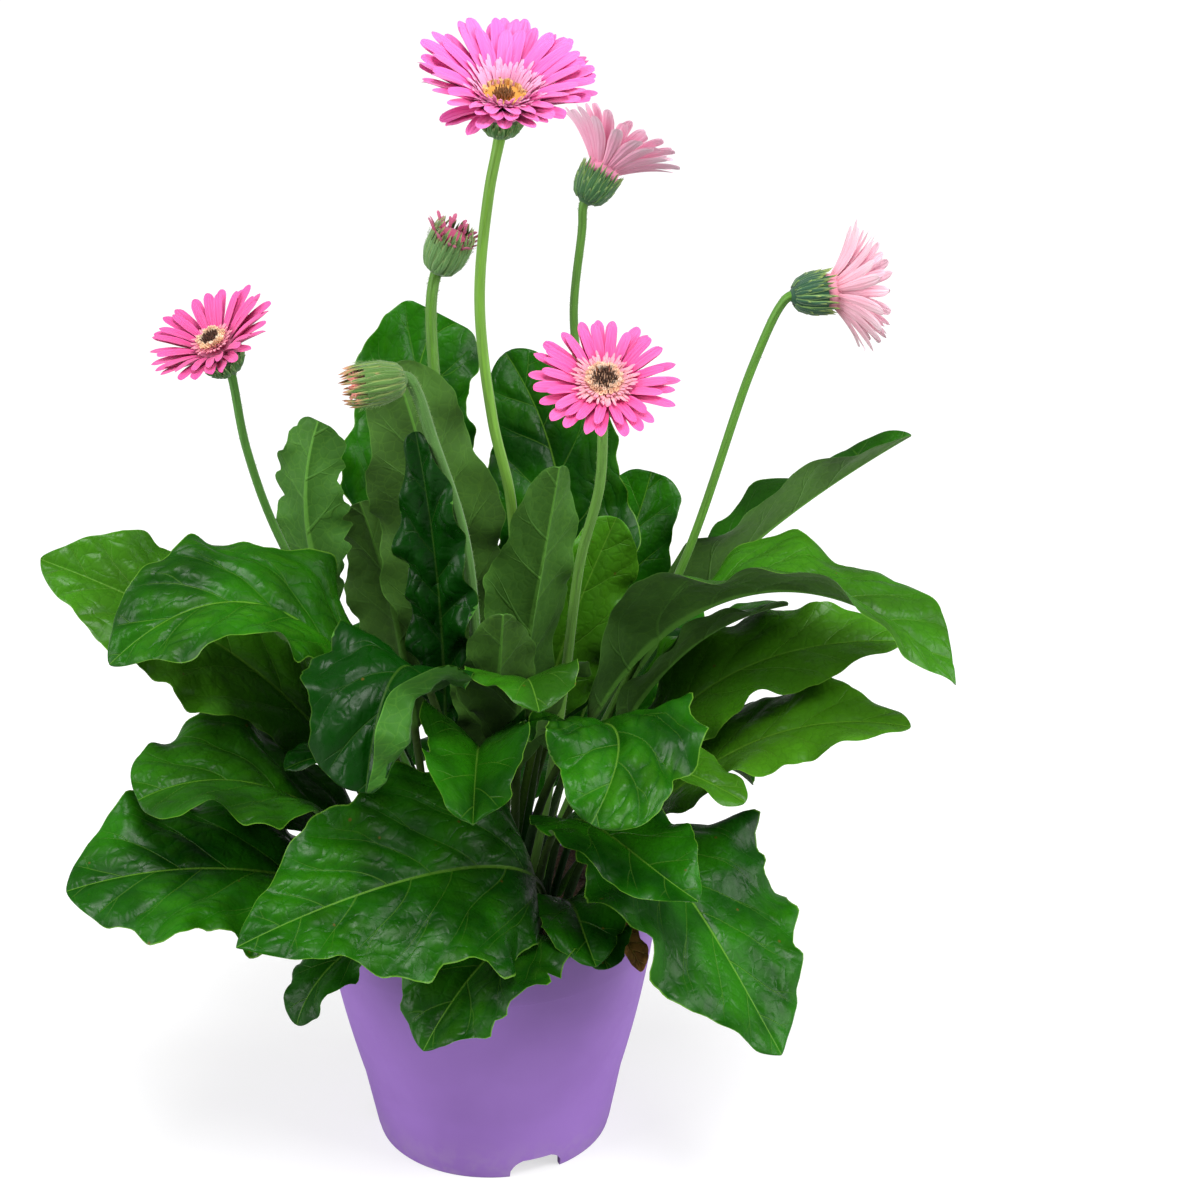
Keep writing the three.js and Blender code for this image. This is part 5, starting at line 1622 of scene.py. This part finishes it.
class GERBERA_OT_soil(bpy.types.Operator):
    """Makes the compost in the pot."""

    bl_idname = "gerbera.soil"
    bl_label = "Compost"

    def execute(self, context):
        build_soil()
        return {"FINISHED"}


class GERBERA_OT_leaves(bpy.types.Operator):
    """Makes all green leaves, each with its stalk."""

    bl_idname = "gerbera.leaves"
    bl_label = "Leaves"

    def execute(self, context):
        build_leaves()
        return {"FINISHED"}


class GERBERA_OT_withered(bpy.types.Operator):
    """Makes the dried leaf over the rim."""

    bl_idname = "gerbera.withered"
    bl_label = "Dried leaf"

    def execute(self, context):
        build_withered()
        return {"FINISHED"}


class GERBERA_OT_stems(bpy.types.Operator):
    """Makes the stems of heads and buds with their cups of bracts."""

    bl_idname = "gerbera.stems"
    bl_label = "Stems and cups"

    def execute(self, context):
        build_stems()
        return {"FINISHED"}


class GERBERA_OT_heads(bpy.types.Operator):
    """Makes the rays, collars and discs of the open heads."""

    bl_idname = "gerbera.heads"
    bl_label = "Open heads"

    def execute(self, context):
        for i, head in enumerate(FLOWERS):
            build_rays(head, i + 1)
            build_disc(head, i + 1)
        return {"FINISHED"}


class GERBERA_OT_buds(bpy.types.Operator):
    """Makes the ray tips in the mouths of the buds."""

    bl_idname = "gerbera.buds"
    bl_label = "Bud tips"

    def execute(self, context):
        for i, head in enumerate(BUDS):
            build_tuft(head, i + 1)
        return {"FINISHED"}


class GERBERA_PT_panel(bpy.types.Panel):
    """Lists the settings and the pieces."""

    bl_idname = "GERBERA_PT_panel"
    bl_label = "Potted gerbera"
    bl_space_type = "VIEW_3D"
    bl_region_type = "UI"
    bl_category = "Gerbera"

    def draw(self, context):
        for settings in (context.scene.gerbera_pot, context.scene.gerbera_leaf,
                         context.scene.gerbera_head, context.scene.gerbera_stage):
            box = self.layout.box()
            for key in settings.__annotations__:
                box.prop(settings, key)
        for operator in OPERATORS:
            self.layout.operator(operator.bl_idname)


SETTINGS = {
    "gerbera_pot": GerberaPotSettings,
    "gerbera_leaf": GerberaLeafSettings,
    "gerbera_head": GerberaHeadSettings,
    "gerbera_stage": GerberaStageSettings,
}
OPERATORS = (
    GERBERA_OT_stage, GERBERA_OT_pot, GERBERA_OT_soil, GERBERA_OT_leaves, GERBERA_OT_withered,
    GERBERA_OT_stems, GERBERA_OT_heads, GERBERA_OT_buds,
)


def register():
    for cls in (*SETTINGS.values(), *OPERATORS, GERBERA_PT_panel):
        bpy.utils.register_class(cls)
    for name, cls in SETTINGS.items():
        setattr(bpy.types.Scene, name, PointerProperty(type=cls))


def unregister():
    for name in SETTINGS:
        delattr(bpy.types.Scene, name)
    for cls in reversed((*SETTINGS.values(), *OPERATORS, GERBERA_PT_panel)):
        bpy.utils.unregister_class(cls)


def main():
    register()
    bpy.ops.gerbera.stage()
    bpy.ops.gerbera.pot()
    bpy.ops.gerbera.soil()
    bpy.ops.gerbera.leaves()
    bpy.ops.gerbera.withered()
    bpy.ops.gerbera.stems()
    bpy.ops.gerbera.heads()
    bpy.ops.gerbera.buds()
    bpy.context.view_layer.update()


if __name__ == "__main__":
    main()
